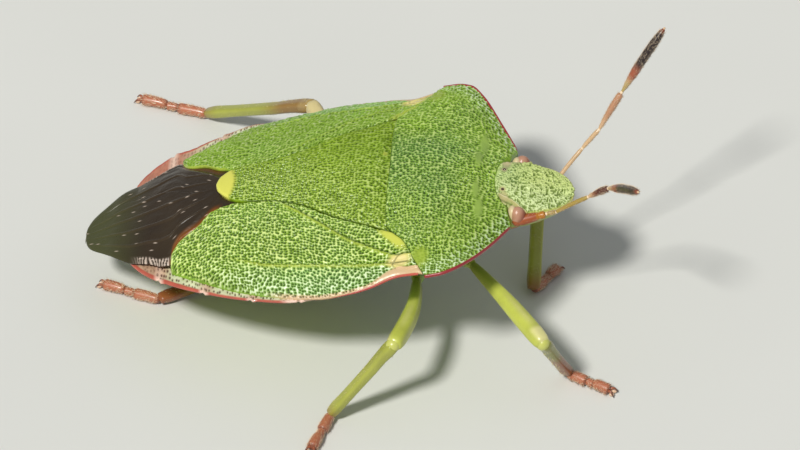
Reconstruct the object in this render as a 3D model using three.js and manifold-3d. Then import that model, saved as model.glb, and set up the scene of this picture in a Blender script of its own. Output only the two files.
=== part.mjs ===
// A green shield bug (Palomena prasina), life size, standing on its six feet.
//
// Units are millimetres and +Z is up. The bug looks along +X and its left side is +Y.
// The body is drawn in a frame of its own, x forward, y left and z up, whose zero is
// level with the shoulder corners of the pronotum. That frame is then tipped nose up,
// and the legs are drawn straight in the upright frame, so that their soles are level.
// The origin of the finished part is on the floor, under the middle of its outline.

import * as THREE from 'three';
import { mergeVertices } from 'three/addons/utils/BufferGeometryUtils.js';
import Module from 'manifold-3d';

const wasm = await Module();
wasm.setup();

// Driving dimensions

const gap = 0.25;
const plateThickness = 0.5;

const noseUp = Math.atan(0.22);
const rideHeight = 4.4 * Math.cos(noseUp);

const headTip = 3.37;
const headBase = 1.42;
const pronotumCorner = { x: 1.86, y: 1.52, z: -0.55 };
const shoulder = { x: -0.15, y: 3.86, z: 0 };
const pronotumHind = { x: -1.3, z: 0.63 };
const scutellumTip = -5.83;
const wingTip = -9.56;
const abdomenStart = -3.05;
const abdomenEnd = -8.78;
const coriumApex = -7.05;

const eyeCentre = { x: 2.06, y: 1.2, z: -0.5 };
const eyeRadii = { x: 0.27, y: 0.22, z: 0.26 };

// A smooth curve through a few stations, written as [place, value], that never overshoots them

function profile(stations) {
  const points = [...stations].sort((a, b) => a[0] - b[0]);
  const last = points.length - 1;
  const slopes = [];
  for (let i = 0; i < last; i += 1) {
    slopes.push((points[i + 1][1] - points[i][1]) / (points[i + 1][0] - points[i][0]));
  }
  const tangents = points.map((point, i) => {
    if (i === 0) return slopes[0];
    if (i === last) return slopes[last - 1];
    if (slopes[i - 1] * slopes[i] <= 0) return 0;
    return 2 * slopes[i - 1] * slopes[i] / (slopes[i - 1] + slopes[i]);
  });
  return (place) => {
    if (place <= points[0][0]) return points[0][1];
    if (place >= points[last][0]) return points[last][1];
    let i = 0;
    while (place > points[i + 1][0]) i += 1;
    const width = points[i + 1][0] - points[i][0];
    const t = (place - points[i][0]) / width;
    const start = (1 + 2 * t) * (1 - t) ** 2 * points[i][1] + t * (1 - t) ** 2 * width * tangents[i];
    const end = t * t * (3 - 2 * t) * points[i + 1][1] + t * t * (t - 1) * width * tangents[i + 1];
    return start + end;
  };
}

const mix = (a, b, t) => a + (b - a) * t;
const clamp01 = (t) => Math.min(Math.max(t, 0), 1);
const smoothstep = (t) => clamp01(t) ** 2 * (3 - 2 * clamp01(t));

// The body's outline and heights along its length

const halfWidth = profile([
  [-0.4, 3.68], [-0.9, 3.58], [-1.6, 3.76], [-2.2, 3.86], [-3.3, 3.9], [-4.9, 3.66], [-6.2, 3.08],
  [-7.46, 2.32], [-7.9, 1.9], [-8.2, 1.58], [-8.5, 1.16], [-8.72, 0.7], [abdomenEnd, 0.3],
]);
const marginHeight = profile([
  [shoulder.x, shoulder.z], [-1, -0.12], [-2, -0.28], [-3.3, -0.38], [-6.2, -0.43], [-8.2, -0.5],
  [wingTip, -0.77],
]);
const backHeight = profile([
  [pronotumHind.x, 0.58], [-3, 0.62], [-4.5, 0.58], [scutellumTip, 0.47], [-6.2, 0.38], [-7, 0.15],
  [-8.2, -0.25], [-9, -0.58], [wingTip, -0.74],
]);
const bellyHeight = profile([
  [headBase, -1.6], [0.5, -2.15], [-1, -2.5], [-2.5, -2.55], [-4.9, -2.3], [-6.5, -1.98], [-7.8, -1.62],
  [-8.5, -1.38], [abdomenEnd, -1.26],
]);

// Height of the folded wings and the scutellum, and of the belly, at a point of the plan

function backSurface(x, y) {
  const t = clamp01(Math.abs(y) / halfWidth(Math.max(x, -8.2)));
  return mix(backHeight(x), marginHeight(x), t ** 2.4);
}

// Underside of the wings and the scutellum, which thin towards the body's sharp margin
const marginThickness = 0.16;

function plateUnderside(x, y) {
  const t = Math.abs(y) / halfWidth(Math.max(x, -8.2));
  return backSurface(x, y) - mix(plateThickness, marginThickness, smoothstep((t - 0.7) / 0.3));
}

// How deep the underside hangs at the part v of the half width: fuller in the abdomen
const thoraxBulge = (v) => (1 - v * v) ** 1.15;
const abdomenBulge = (v) => 1 - v * v;

// Plan outlines of the plates

const scutellumWidth = profile([
  [-0.9, 2.32], [-1.87, 1.9], [-2.62, 1.58], [-3.6, 1.02], [-4.4, 0.78], [-5.15, 0.68], [-5.5, 0.56],
  [-5.72, 0.36], [scutellumTip, 0.12],
]);
const coriumInner = profile([
  [-0.9, 2.32 + gap], [-1.87, 1.9 + gap], [-2.62, 1.58 + gap], [-3.6, 1.02 + gap], [-4.4, 0.78 + gap],
  [-5.2, 0.7 + gap], [-5.95, 0.98], [-6.6, 1.38], [-6.95, 1.8], [coriumApex, 2.1],
]);
const coriumOuter = profile([
  [-0.4, 3.66], [-0.9, 3.56], [-1.6, 3.74], [-2.2, 3.84], [-2.9, 3.84], [-3.4, 3.5], [-4.6, 3.26],
  [-5.97, 2.74], [-6.69, 2.42], [coriumApex, 2.16],
]);
const membraneWidth = profile([
  [-5.95, 0.6], [-6.6, 1.0], [-6.95, 1.42], [-7.2, 1.75], [-7.6, 1.85], [-8.2, 1.62], [-8.6, 1.36],
  [-9, 1.0], [-9.3, 0.67], [-9.48, 0.36], [wingTip, 0.06],
]);

const hindEdgeSweep = 2.9;

// The hind edge of the pronotum, straight across the middle and swept forward to the shoulders
function pronotumHindEdge(y) {
  return mix(pronotumHind.x, shoulder.x, clamp01(Math.abs(y) / shoulder.y) ** hindEdgeSweep);
}

// Behind the pronotum's edge, at the part v of the way between two plan outlines
function behindPronotum(v, inner, outer) {
  let x = pronotumHind.x;
  for (let round = 0; round < 12; round += 1) {
    x = pronotumHindEdge(mix(inner(x), outer(x), v)) - gap;
  }
  return x;
}

// Mesh making

function geometryFrom(positions, triangles) {
  const geometry = new THREE.BufferGeometry();
  geometry.setAttribute('position', new THREE.Float32BufferAttribute(positions, 3));
  geometry.setIndex(triangles);
  return geometry;
}

function solidFrom(geometry) {
  const bare = geometry.clone();
  bare.deleteAttribute('normal');
  bare.deleteAttribute('uv');
  const merged = mergeVertices(bare, 1e-4);
  const index = merged.index.array;
  const kept = [];
  for (let i = 0; i < index.length; i += 3) {
    const [a, b, c] = [index[i], index[i + 1], index[i + 2]];
    if (a !== b && b !== c && c !== a) kept.push(a, b, c);
  }
  return new wasm.Manifold(new wasm.Mesh({
    numProp: 3,
    vertProperties: new Float32Array(merged.attributes.position.array),
    triVerts: new Uint32Array(kept),
  }));
}

// The largest closed surface of a solid, as a geometry
function geometryOf(solid) {
  const largest = solid.decompose().sort((a, b) => b.volume() - a.volume())[0];
  const mesh = largest.getMesh();
  return geometryFrom(Array.from(mesh.vertProperties), Array.from(mesh.triVerts));
}

// A closed plate or body between an upper and a lower surface. Both are given over
// u from 0 to 1 along the body and v from -1 to 1 across it, and meet at their rims.
function slab(along, across, upper, lower, spread = (t) => t) {
  const positions = [];
  const triangles = [];
  const row = across + 1;
  for (const surface of [upper, lower]) {
    for (let i = 0; i <= along; i += 1) {
      for (let j = 0; j <= across; j += 1) {
        positions.push(...surface(spread(i / along), 2 * j / across - 1));
      }
    }
  }
  const under = (along + 1) * row;
  const towardsHead = upper(1, 0)[0] > upper(0, 0)[0];
  const quad = (a, b, c, d) => {
    if (towardsHead) triangles.push(a, b, c, a, c, d);
    else triangles.push(a, c, b, a, d, c);
  };
  for (let i = 0; i < along; i += 1) {
    for (let j = 0; j < across; j += 1) {
      const a = i * row + j;
      quad(a, a + row, a + row + 1, a + 1);
      quad(under + a, under + a + 1, under + a + row + 1, under + a + row);
    }
  }
  for (let i = 0; i < along; i += 1) {
    const low = i * row;
    const high = low + across;
    quad(low, under + low, under + low + row, low + row);
    quad(high, high + row, under + high + row, under + high);
  }
  for (let j = 0; j < across; j += 1) {
    const rear = along * row + j;
    quad(j, j + 1, under + j + 1, under + j);
    quad(rear, under + rear, under + rear + 1, rear + 1);
  }
  const solid = solidFrom(geometryFrom(positions, triangles));
  if (solid.volume() < 0) throw new Error('a slab is inside out');
  return solid;
}

// A round tube through points, each written as { at, radius }, with domed ends.
// With a floor, what would reach below it is flattened there.
function tube(stops, { sides = 8, steps = 6, floor = -Infinity, dome = 0.75 } = {}) {
  const curve = new THREE.CatmullRomCurve3(stops.map((stop) => stop.at), false, 'centripetal');
  const radius = profile(stops.map((stop, i) => [i / (stops.length - 1), stop.radius]));
  const positions = [];
  const triangles = [];
  const rings = [];
  for (let i = 0; i <= steps; i += 1) rings.push({ t: i / steps, shift: 0, scale: 1 });
  rings.unshift({ t: 0, shift: -0.67 * dome, scale: 0.7 });
  rings.push({ t: 1, shift: 0.67 * dome, scale: 0.7 });
  const push = (point) => positions.push(point.x, point.y, Math.max(point.z, floor));
  const place = (ring) => {
    const tangent = curve.getTangent(ring.t);
    const size = radius(ring.t);
    const centre = curve.getPoint(ring.t).addScaledVector(tangent, ring.shift * size);
    const side = new THREE.Vector3(0, 0, 1).cross(tangent).normalize();
    const rise = tangent.clone().cross(side);
    return { tangent, size, centre, side, rise };
  };
  for (const ring of rings) {
    const { size, centre, side, rise } = place(ring);
    for (let j = 0; j < sides; j += 1) {
      const angle = 2 * Math.PI * (j + 0.5) / sides;
      push(centre.clone()
        .addScaledVector(side, size * ring.scale * Math.cos(angle))
        .addScaledVector(rise, size * ring.scale * Math.sin(angle)));
    }
  }
  for (let i = 0; i + 1 < rings.length; i += 1) {
    for (let j = 0; j < sides; j += 1) {
      const a = i * sides + j;
      const b = i * sides + (j + 1) % sides;
      triangles.push(a, b, b + sides, a, b + sides, a + sides);
    }
  }
  const start = place({ t: 0, shift: -dome });
  const end = place({ t: 1, shift: dome });
  push(start.centre);
  push(end.centre);
  const first = rings.length * sides;
  for (let j = 0; j < sides; j += 1) {
    const next = (j + 1) % sides;
    triangles.push(first, next, j);
    triangles.push(first + 1, first - sides + j, first - sides + next);
  }
  return solidFrom(geometryFrom(positions, triangles));
}

function ellipsoid(centre, radii, detail = 10) {
  const geometry = new THREE.SphereGeometry(1, detail, Math.round(detail * 0.7));
  geometry.scale(radii.x, radii.y, radii.z);
  geometry.translate(centre.x, centre.y, centre.z);
  return solidFrom(geometry);
}

const joinAll = (solids) => solids.reduce((whole, next) => whole.add(next));

// Materials, one for each finish of the real animal

const finish = (color, roughness) => new THREE.MeshStandardMaterial({ color, roughness, metalness: 0 });
const shellGreen = finish('#93ad42', 0.5);
const headGreen = finish('#a3b356', 0.5);
const wingGreen = finish('#97b344', 0.5);
const bellyGreen = finish('#a9bf5f', 0.5);
const membraneBrown = finish('#3f2f28', 0.3);
const marginRed = finish('#c4604f', 0.45);
const legGreen = finish('#a8b344', 0.4);
const footBrown = finish('#96593a', 0.5);
const feelerBuff = finish('#b07a58', 0.45);
const eyeBrown = finish('#6d3b33', 0.25);

const body = new THREE.Group();
const legs = new THREE.Group();

function addNode(group, name, solid, material) {
  const mesh = new THREE.Mesh(geometryOf(solid), material);
  mesh.name = name;
  group.add(mesh);
}

// Head, with the raised middle lobe, two side lobes and the two small simple eyes

const headWidth = profile([
  [1.3, 1.08], [2.06, 1.1], [2.25, 1.03], [2.75, 0.87], [3.1, 0.64], [3.28, 0.4], [headTip, 0.14],
]);
const headMargin = profile([[1.3, -0.5], [2.06, -0.57], [2.75, -0.7], [3.1, -0.79], [headTip, -0.88]]);
const headCrown = profile([
  [1.3, -0.1], [headBase, -0.14], [2.27, -0.43], [2.7, -0.6], [3.1, -0.74], [headTip, -0.82],
]);
const headUnderside = profile([[1.3, -1.5], [2, -1.5], [2.75, -1.3], [3.2, -1.1], [headTip, -0.96]]);

function headPlace(u, v) {
  const rear = mix(headBase, pronotumCorner.x, (v * 0.72) ** 2) + gap;
  const x = mix(rear, headTip, u);
  return { x, y: v * headWidth(x) };
}

function headTop(u, v) {
  const { x, y } = headPlace(u, v);
  const lobe = 0.05 * smoothstep((x - 2.1) / 0.4) * Math.cos(clamp01(Math.abs(y) / 0.3) * Math.PI / 2);
  return [x, y, mix(headCrown(x), headMargin(x), Math.abs(v) ** 3) + lobe];
}

function headBottom(u, v) {
  const { x, y } = headPlace(u, v);
  const rim = headMargin(x) - 0.1;
  return [x, y, mix(rim, headUnderside(x), Math.sqrt(1 - v * v))];
}

// Antennae, each of five segments: the joints in order from the root to the tip

const antennaJoints = {
  left: [
    [2.15, 1.0, -1.05], [2.95, 1.05, -0.85], [3.6, 1.3, -0.5], [4.1, 1.5, -0.1], [4.82, 1.95, 0.7],
    [6.15, 2.65, 2.1],
  ],
  right: [
    [2.05, -1.0, -1.02], [2.77, -0.95, -0.9], [3.87, -0.97, -0.46], [4.5, -1.15, -0.09],
    [4.98, -2.02, 0.52], [5.62, -3.2, 1.33],
  ],
};
// The second and third segments are short, and are kept as one length
const antennaLengths = [[0, 1], [1, 2, 3], [3, 4], [4, 5]];
const antennaRadius = 0.25;
const antennaTipRadius = 0.15;

function antennaLength(side, number, grow = 0) {
  const joints = antennaLengths[number].map((joint) => new THREE.Vector3(...antennaJoints[side][joint]));
  const last = joints.length - 1;
  const tapered = number === antennaLengths.length - 1;
  const dome = 0.5 * antennaRadius;
  const inward = joints[1].clone().sub(joints[0]).normalize();
  const outward = joints[last].clone().sub(joints[last - 1]).normalize();
  joints[0].addScaledVector(inward, gap / 2 + dome);
  joints[last].addScaledVector(outward, tapered ? -0.5 * antennaTipRadius : -gap / 2 - dome);
  if (last === 1) joints.splice(1, 0, joints[0].clone().lerp(joints[1], 0.5));
  return tube(joints.map((at, i) => ({
    at,
    radius: tapered && i === 2 ? antennaTipRadius : antennaRadius + grow,
  })), { sides: 8, steps: 3, dome: 0.5 });
}

const eyeAt = (side) => ({ x: eyeCentre.x, y: side * eyeCentre.y, z: eyeCentre.z });
const grown = (radii, by) => ({ x: radii.x + by, y: radii.y + by, z: radii.z + by });

let head = slab(12, 16, headTop, headBottom, (t) => Math.sin(t * Math.PI / 2));
for (const side of [-1, 1]) {
  const simpleEye = { x: 1.74, y: side * 0.5, z: -0.28 };
  head = head.add(ellipsoid(simpleEye, { x: 0.13, y: 0.13, z: 0.13 }, 8));
  head = head.subtract(ellipsoid(eyeAt(side), grown(eyeRadii, gap * 0.8)));
}
for (const side of ['left', 'right']) {
  head = head.subtract(antennaLength(side, 0, gap * 0.9));
}
addNode(body, 'head', head, headGreen);
addNode(body, 'eye_left', ellipsoid(eyeAt(1), eyeRadii), eyeBrown);
addNode(body, 'eye_right', ellipsoid(eyeAt(-1), eyeRadii), eyeBrown);

for (const side of ['left', 'right']) {
  for (let number = 0; number < antennaLengths.length; number += 1) {
    addNode(body, `antenna_${side}_${number + 1}`, antennaLength(side, number), feelerBuff);
  }
}

// Beak, folded back under the body between the legs

addNode(body, 'beak', tube([
  { at: new THREE.Vector3(2.75, 0, -1.62), radius: 0.25 },
  { at: new THREE.Vector3(1.4, 0, -2.2), radius: 0.25 },
  { at: new THREE.Vector3(0.2, 0, -2.85), radius: 0.25 },
  { at: new THREE.Vector3(-1.6, 0, -3.06), radius: 0.17 },
], { steps: 8 }), footBrown);

// Legs: each hip, knee and ankle is given in the body's frame

const hips = {
  fore: { x: 0.75, y: 0.95, z: -2.25 },
  middle: { x: -0.95, y: 1.0, z: -2.55 },
  hind: { x: -2.2, y: 0.95, z: -2.6 },
};
const coxaRadii = { x: 0.36, y: 0.36, z: 0.42 };

// Prothorax: the pronotum above and the underside that carries the fore legs

const pronotumWidth = profile([
  [pronotumCorner.x, pronotumCorner.y], [1.4, 2.48], [0.93, 3.34], [0.6, 3.71], [0.2, 3.85],
  [shoulder.x, shoulder.y],
]);
const pronotumMargin = profile([
  [pronotumCorner.x, pronotumCorner.z], [1.4, -0.34], [0.93, -0.07], [0.6, 0.04], [shoulder.x, shoulder.z],
]);

function pronotumTop(u, v) {
  const reach = Math.abs(v);
  const sideX = mix(pronotumCorner.x, shoulder.x, u);
  const front = mix(headBase, pronotumCorner.x, reach * reach);
  const hind = mix(pronotumHind.x, shoulder.x, reach ** hindEdgeSweep);
  const middle = mix(-0.14, pronotumHind.z, 1 - (1 - u) ** 1.8);
  const height = mix(middle, pronotumMargin(sideX), reach ** 2.3);
  return [mix(front, hind, u), v * pronotumWidth(sideX), height];
}

const prothoraxRearBelow = -0.15;

function prothoraxBottom(u, v) {
  const [x, y, z] = pronotumTop(u, v);
  const depth = thoraxBulge(v);
  const below = mix(x, mix(headBase, prothoraxRearBelow, u), depth);
  return [below, y, mix(z - 0.1, bellyHeight(below), depth)];
}

function coxa(name, side) {
  const hip = hips[name];
  return ellipsoid({ x: hip.x, y: side * hip.y, z: hip.z }, coxaRadii, 10);
}

const prothorax = joinAll([slab(11, 20, pronotumTop, prothoraxBottom), coxa('fore', -1), coxa('fore', 1)]);
addNode(body, 'prothorax', prothorax, shellGreen);

// Middle and hind thorax, under the wings

const thoraxWidth = (x) => halfWidth(x) - 0.4;
const none = () => 0;

function thoraxTop(u, v) {
  const reach = Math.abs(v);
  const front = behindPronotum(reach, none, thoraxWidth);
  const x = mix(front, abdomenStart + gap, u);
  const y = v * thoraxWidth(x);
  return [x, y, plateUnderside(x, y) - gap];
}

function thoraxBottom(u, v) {
  const depth = thoraxBulge(v);
  const [edgeX] = thoraxTop(u, v);
  const x = mix(edgeX, mix(prothoraxRearBelow - gap, abdomenStart + gap, u), depth);
  const y = v * thoraxWidth(x);
  return [x, y, mix(plateUnderside(x, y) - gap - 0.1, bellyHeight(x), depth)];
}

const thorax = joinAll([
  slab(5, 16, thoraxTop, thoraxBottom),
  ...['middle', 'hind'].flatMap((name) => [coxa(name, -1), coxa(name, 1)]),
]);
addNode(body, 'thorax', thorax, bellyGreen);

// Scutellum, the shield between the wings

function scutellumTop(u, v) {
  const reach = Math.abs(v);
  const front = behindPronotum(reach, none, scutellumWidth);
  const x = mix(front, scutellumTip, u);
  const y = v * scutellumWidth(x);
  return [x, y, backSurface(x, y)];
}

function scutellumBottom(u, v) {
  const [x, y, z] = scutellumTop(u, v);
  return [x, y, z - plateThickness];
}

addNode(body, 'scutellum', slab(14, 8, scutellumTop, scutellumBottom), shellGreen);

// Forewings: the leathery part, with the groove that parts off its inner strip

const suture = profile([[-0.9, 3.0], [-2.18, 2.4], [-2.94, 1.85], [-3.6, 1.4], [-3.96, 1.2]]);

function coriumPlace(u, v) {
  const across = (v + 1) / 2;
  const front = behindPronotum(across, coriumInner, coriumOuter);
  const x = mix(front, coriumApex, u);
  return { x, y: mix(coriumInner(x), coriumOuter(x), across) };
}

function coriumTop(side) {
  return (u, v) => {
    const { x, y } = coriumPlace(u, v);
    const groove = 0.07 * Math.exp(-(((y - suture(x)) / 0.12) ** 2)) * smoothstep((x + 4.2) / 0.5);
    return [x, side * y, backSurface(x, y) - groove];
  };
}

function coriumBottom(side) {
  return (u, v) => {
    const { x, y } = coriumPlace(u, v);
    return [x, side * y, plateUnderside(x, y)];
  };
}

for (const [name, side] of [['forewing_left', 1], ['forewing_right', -1]]) {
  const flip = (surface) => (side > 0 ? surface : (u, v) => surface(u, -v));
  addNode(body, name, slab(13, 11, flip(coriumTop(side)), flip(coriumBottom(side))), wingGreen);
}

// Wing membranes, the right one lying over the left, with their veins as low ridges

const veinCount = 6;

const membraneRoot = -5.83 - gap;

function membraneFold(x) {
  const t = clamp01((membraneRoot - x) / (membraneRoot - wingTip));
  return membraneWidth(x) * mix(0.1, 0.62, t);
}

function veinRidge(x, y) {
  const t = y / membraneWidth(x);
  const wave = Math.cos(Math.PI * veinCount * t);
  const fade = smoothstep((membraneRoot - x) / 0.6) * smoothstep((x - wingTip) / 0.5);
  return 0.06 * fade * clamp01(2 * wave - 1);
}

function membraneTop(from, to) {
  return (u, v) => {
    const x = mix(membraneRoot, wingTip, u);
    const y = mix(from(x), to(x), (v + 1) / 2);
    return [x, y, backSurface(x, y) + veinRidge(x, y)];
  };
}

function membraneBottom(from, to) {
  return (u, v) => {
    const x = mix(membraneRoot, wingTip, u);
    const y = mix(from(x), to(x), (v + 1) / 2);
    return [x, y, backSurface(x, y) - mix(plateThickness, 0.2, u ** 3)];
  };
}

const foldRight = (x) => membraneFold(x) - gap / 2;
const foldLeft = (x) => Math.max(membraneFold(x) + gap / 2, 0);
const rightEdge = (x) => -membraneWidth(x);
const leftEdge = (x) => Math.max(membraneWidth(x), foldLeft(x) + 0.02);
addNode(body, 'membrane_right', slab(
  12, 16, membraneTop(rightEdge, foldRight), membraneBottom(rightEdge, foldRight),
), membraneBrown);
addNode(body, 'membrane_left', slab(
  12, 6, membraneTop(foldLeft, leftEdge), membraneBottom(foldLeft, leftEdge),
), membraneBrown);

// Connexivum: the flat banded rims of the abdomen that show beside the wings

const rimWidth = 0.8;
const rimStart = -3.15;
const rimEnd = -8.5;
const rimDrop = 0.42;
const rimRootThickness = 0.66;
const bandEnds = [-3.55, -4.85, -6.15, -7.4];

// The inner half of a rim lies low under the wing, and the outer half rises beside its edge
function rimPlace(u, v) {
  const x = mix(rimStart, rimEnd, u);
  const across = (v + 1) / 2;
  const notch = 0.06 * Math.max(...bandEnds.map((end) => clamp01(1 - Math.abs(x - end) / 0.15)));
  const outer = halfWidth(x) - notch;
  const inner = Math.max(halfWidth(x) - rimWidth, 0.3);
  const wingEdge = x > coriumApex - gap ? coriumOuter(x) : membraneWidth(x);
  const step = Math.min(Math.max(wingEdge + gap, inner + 0.2), outer - 0.12);
  const y = across < 0.5 ? mix(inner, step, across * 2) : mix(step, outer, across * 2 - 1);
  const room = smoothstep((outer - wingEdge - gap) / 0.2);
  return { x, y, across, low: rimDrop * (across > 0.6 ? 1 - room : 1) };
}

function rimTop(side) {
  return (u, v) => {
    const { x, y, low } = rimPlace(u, v);
    return [x, side * y, marginHeight(x) - low];
  };
}

function rimBottom(side) {
  return (u, v) => {
    const { x, y, across, low } = rimPlace(u, v);
    const thickness = mix(rimRootThickness, marginThickness, across);
    return [x, side * y, marginHeight(x) - Math.max(thickness, low + marginThickness)];
  };
}

for (const [name, side] of [['connexivum_left', 1], ['connexivum_right', -1]]) {
  const flip = (surface) => (side > 0 ? surface : (u, v) => surface(u, -v));
  addNode(body, name, slab(24, 6, flip(rimTop(side)), flip(rimBottom(side))), marginRed);
}

// Abdomen, between the two rims and under the wings

const abdomenSideDepth = 0.98;

const shelf = (x) => Math.max(halfWidth(x) - rimWidth - gap, 0.2);

function abdomenTop(u, v) {
  const x = mix(abdomenStart, abdomenEnd, u);
  const y = v * shelf(x);
  return [x, y, Math.max(plateUnderside(x, y) - gap, bellyHeight(x) + 0.12)];
}

function abdomenBottom(u, v) {
  const x = mix(abdomenStart, abdomenEnd, u);
  const y = v * (shelf(x) + 0.08);
  const belly = mix(marginHeight(x), bellyHeight(x), abdomenBulge(clamp01(Math.abs(y) / halfWidth(x))));
  return [x, y, Math.min(belly, marginHeight(x) - abdomenSideDepth * Math.abs(v) ** 4)];
}

addNode(body, 'abdomen', slab(12, 14, abdomenTop, abdomenBottom), bellyGreen);

// From the body's frame to the upright one
function upright({ x, y, z }) {
  return new THREE.Vector3(
    x * Math.cos(noseUp) - z * Math.sin(noseUp),
    y,
    x * Math.sin(noseUp) + z * Math.cos(noseUp) + rideHeight,
  );
}

const legJoints = {
  fore_right: { hip: 'fore', knee: [2.45, -3.83, -2.65], ankle: [2.66, -2.55, -4.77], toe: [3.83, -3.11] },
  fore_left: { hip: 'fore', knee: [1.9, 3.5, -2.95], ankle: [1.61, 0.71, -4.53], toe: [2.19, 1.75] },
  middle_right: {
    hip: 'middle', knee: [-1.18, -4.67, -1.5], ankle: [-3.21, -4.83, -3.47], toe: [-3.64, -6.22],
  },
  middle_left: {
    hip: 'middle', knee: [-1.18, 4.67, -1.5], ankle: [-3.21, 4.83, -3.47], toe: [-3.64, 6.22],
  },
  hind_right: { hip: 'hind', knee: [-4.5, 1.3, -2.95], ankle: [-7.88, -0.69, -2.45], toe: [-9.49, -0.13] },
  hind_left: { hip: 'hind', knee: [-3.95, 4.95, -1.05], ankle: [-7.25, 7.06, -2.58], toe: [-9.16, 7.59] },
};
const femurRadius = 0.29;
const kneeRadius = 0.26;
const tibiaRadius = 0.25;
const ankleRadius = 0.27;
const footRadius = 0.25;
const footHeight = 0.17;
const thighSetBack = 0.1;

// A straight limb whose end rings stand back from its two joints by the given lengths
function straightTube(from, to, setBack, radii, options) {
  const along = to.clone().sub(from).normalize();
  const start = from.clone().addScaledVector(along, setBack[0]);
  const end = to.clone().addScaledVector(along, -setBack[1]);
  const stops = radii.map((radius, i) => ({
    at: start.clone().lerp(end, i / (radii.length - 1)),
    radius,
  }));
  return tube(stops, options);
}

// How far from the knee the shin starts, to clear the thigh by the gap at this bend
function kneeSetBack(root, knee, ankle) {
  const bend = root.clone().sub(knee).angleTo(ankle.clone().sub(knee));
  if (bend < Math.PI / 2) return (kneeRadius + tibiaRadius + gap) / Math.sin(bend);
  return 0.75 * tibiaRadius + gap + mix(kneeRadius, 0.75 * kneeRadius - thighSetBack, -Math.cos(bend));
}

// A foot of three segments that lie flat on the floor and end in two claws
function foot(ankle, toe) {
  const start = new THREE.Vector3(ankle.x, ankle.y, footHeight);
  const end = new THREE.Vector3(toe.x, toe.y, footHeight);
  const along = end.clone().sub(start).normalize();
  start.addScaledVector(along, 0.15);
  const across = new THREE.Vector3(-along.y, along.x, 0);
  const waists = [0, 0.24, 0.45, 0.53, 0.63, 0.82, 1];
  const pieces = [tube(waists.map((t, i) => ({
    at: start.clone().lerp(end, t),
    radius: footRadius * (i % 2 ? 1 : 0.84),
  })), { sides: 8, steps: 9, floor: 0 })];
  for (const side of [-1, 1]) {
    const root = end.clone().addScaledVector(across, side * 0.09);
    const bend = root.clone().addScaledVector(along, 0.26).addScaledVector(across, side * 0.12);
    const point = bend.clone().addScaledVector(along, 0.16);
    root.z = 0.2;
    bend.z = 0.26;
    point.z = 0.1;
    pieces.push(tube([
      { at: root, radius: 0.14 },
      { at: bend, radius: 0.12 },
      { at: point, radius: 0.07 },
    ], { sides: 6, steps: 2, floor: 0 }));
  }
  return joinAll(pieces);
}

for (const [name, joints] of Object.entries(legJoints)) {
  const side = name.endsWith('left') ? 1 : -1;
  const hip = hips[joints.hip];
  const root = upright({ x: hip.x, y: side * hip.y, z: hip.z });
  const knee = upright(new THREE.Vector3(...joints.knee));
  const ankle = upright(new THREE.Vector3(...joints.ankle));
  const toe = upright({ x: joints.toe[0], y: joints.toe[1], z: -4.25 - 0.22 * joints.toe[0] });
  const outward = knee.clone().sub(root).normalize();
  root.addScaledVector(outward, coxaRadii.x);
  const heel = ankle.clone();
  heel.z = Math.max(ankle.z, footHeight + footRadius + gap / 2);
  const hipSetBack = gap + 0.75 * femurRadius;
  const ankleSetBack = gap / 2 + 0.75 * ankleRadius;
  addNode(legs, `femur_${name}`, straightTube(
    root, knee, [hipSetBack, thighSetBack], [0.25, femurRadius, femurRadius, kneeRadius], { steps: 6 },
  ), legGreen);
  addNode(legs, `tibia_${name}`, straightTube(
    knee, heel, [kneeSetBack(root, knee, heel), ankleSetBack], [tibiaRadius, tibiaRadius, ankleRadius],
    { steps: 4 },
  ), legGreen);
  addNode(legs, `tarsus_${name}`, foot(ankle, toe), footBrown);
}

body.rotation.y = -noseUp;
body.position.z = rideHeight;

const bug = new THREE.Group();
bug.add(body, legs);
bug.updateMatrixWorld(true);

// Set the middle of the outline over the origin
const outline = new THREE.Box3().setFromObject(bug, true);
const middle = outline.getCenter(new THREE.Vector3());
bug.position.set(-middle.x, -middle.y, 0);

export default bug;
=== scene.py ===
# A green shield bug at life size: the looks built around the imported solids.
#
# Lengths are in millimetres. The body is drawn in its own frame, x forward, y left and z up,
# with zero level with the shoulder corners. tip_up() tips it nose up, as the solids are. Plates
# take points of the body's frame, and tubes, balls and hairs take points of that upright frame.
# make_piece() sets both in the part's frame.

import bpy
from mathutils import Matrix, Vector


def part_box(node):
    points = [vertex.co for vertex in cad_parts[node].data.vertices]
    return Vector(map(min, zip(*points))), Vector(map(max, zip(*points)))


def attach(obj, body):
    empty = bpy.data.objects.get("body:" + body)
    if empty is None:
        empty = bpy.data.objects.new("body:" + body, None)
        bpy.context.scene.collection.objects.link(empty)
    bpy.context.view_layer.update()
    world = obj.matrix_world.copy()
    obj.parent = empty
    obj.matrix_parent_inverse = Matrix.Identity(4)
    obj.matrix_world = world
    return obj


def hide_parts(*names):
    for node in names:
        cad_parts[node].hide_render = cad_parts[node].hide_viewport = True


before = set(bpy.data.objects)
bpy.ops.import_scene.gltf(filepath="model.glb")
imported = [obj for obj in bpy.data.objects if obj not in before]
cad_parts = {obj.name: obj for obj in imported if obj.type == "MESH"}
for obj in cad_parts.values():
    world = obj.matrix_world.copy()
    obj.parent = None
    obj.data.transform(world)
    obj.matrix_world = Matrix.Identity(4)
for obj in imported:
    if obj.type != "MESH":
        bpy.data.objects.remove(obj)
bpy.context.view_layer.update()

import math

import bpy
import numpy as np
from mathutils import Matrix, Vector

MM = 0.001
NOSE_SLOPE = 0.22
NOSE_UP = math.atan(NOSE_SLOPE)
FLOOR_DEPTH = 4.4
SOLE_DEPTH = 4.25
RIDE_HEIGHT = FLOOR_DEPTH * math.cos(NOSE_UP)
SIDES = (-1, 1)

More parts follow.
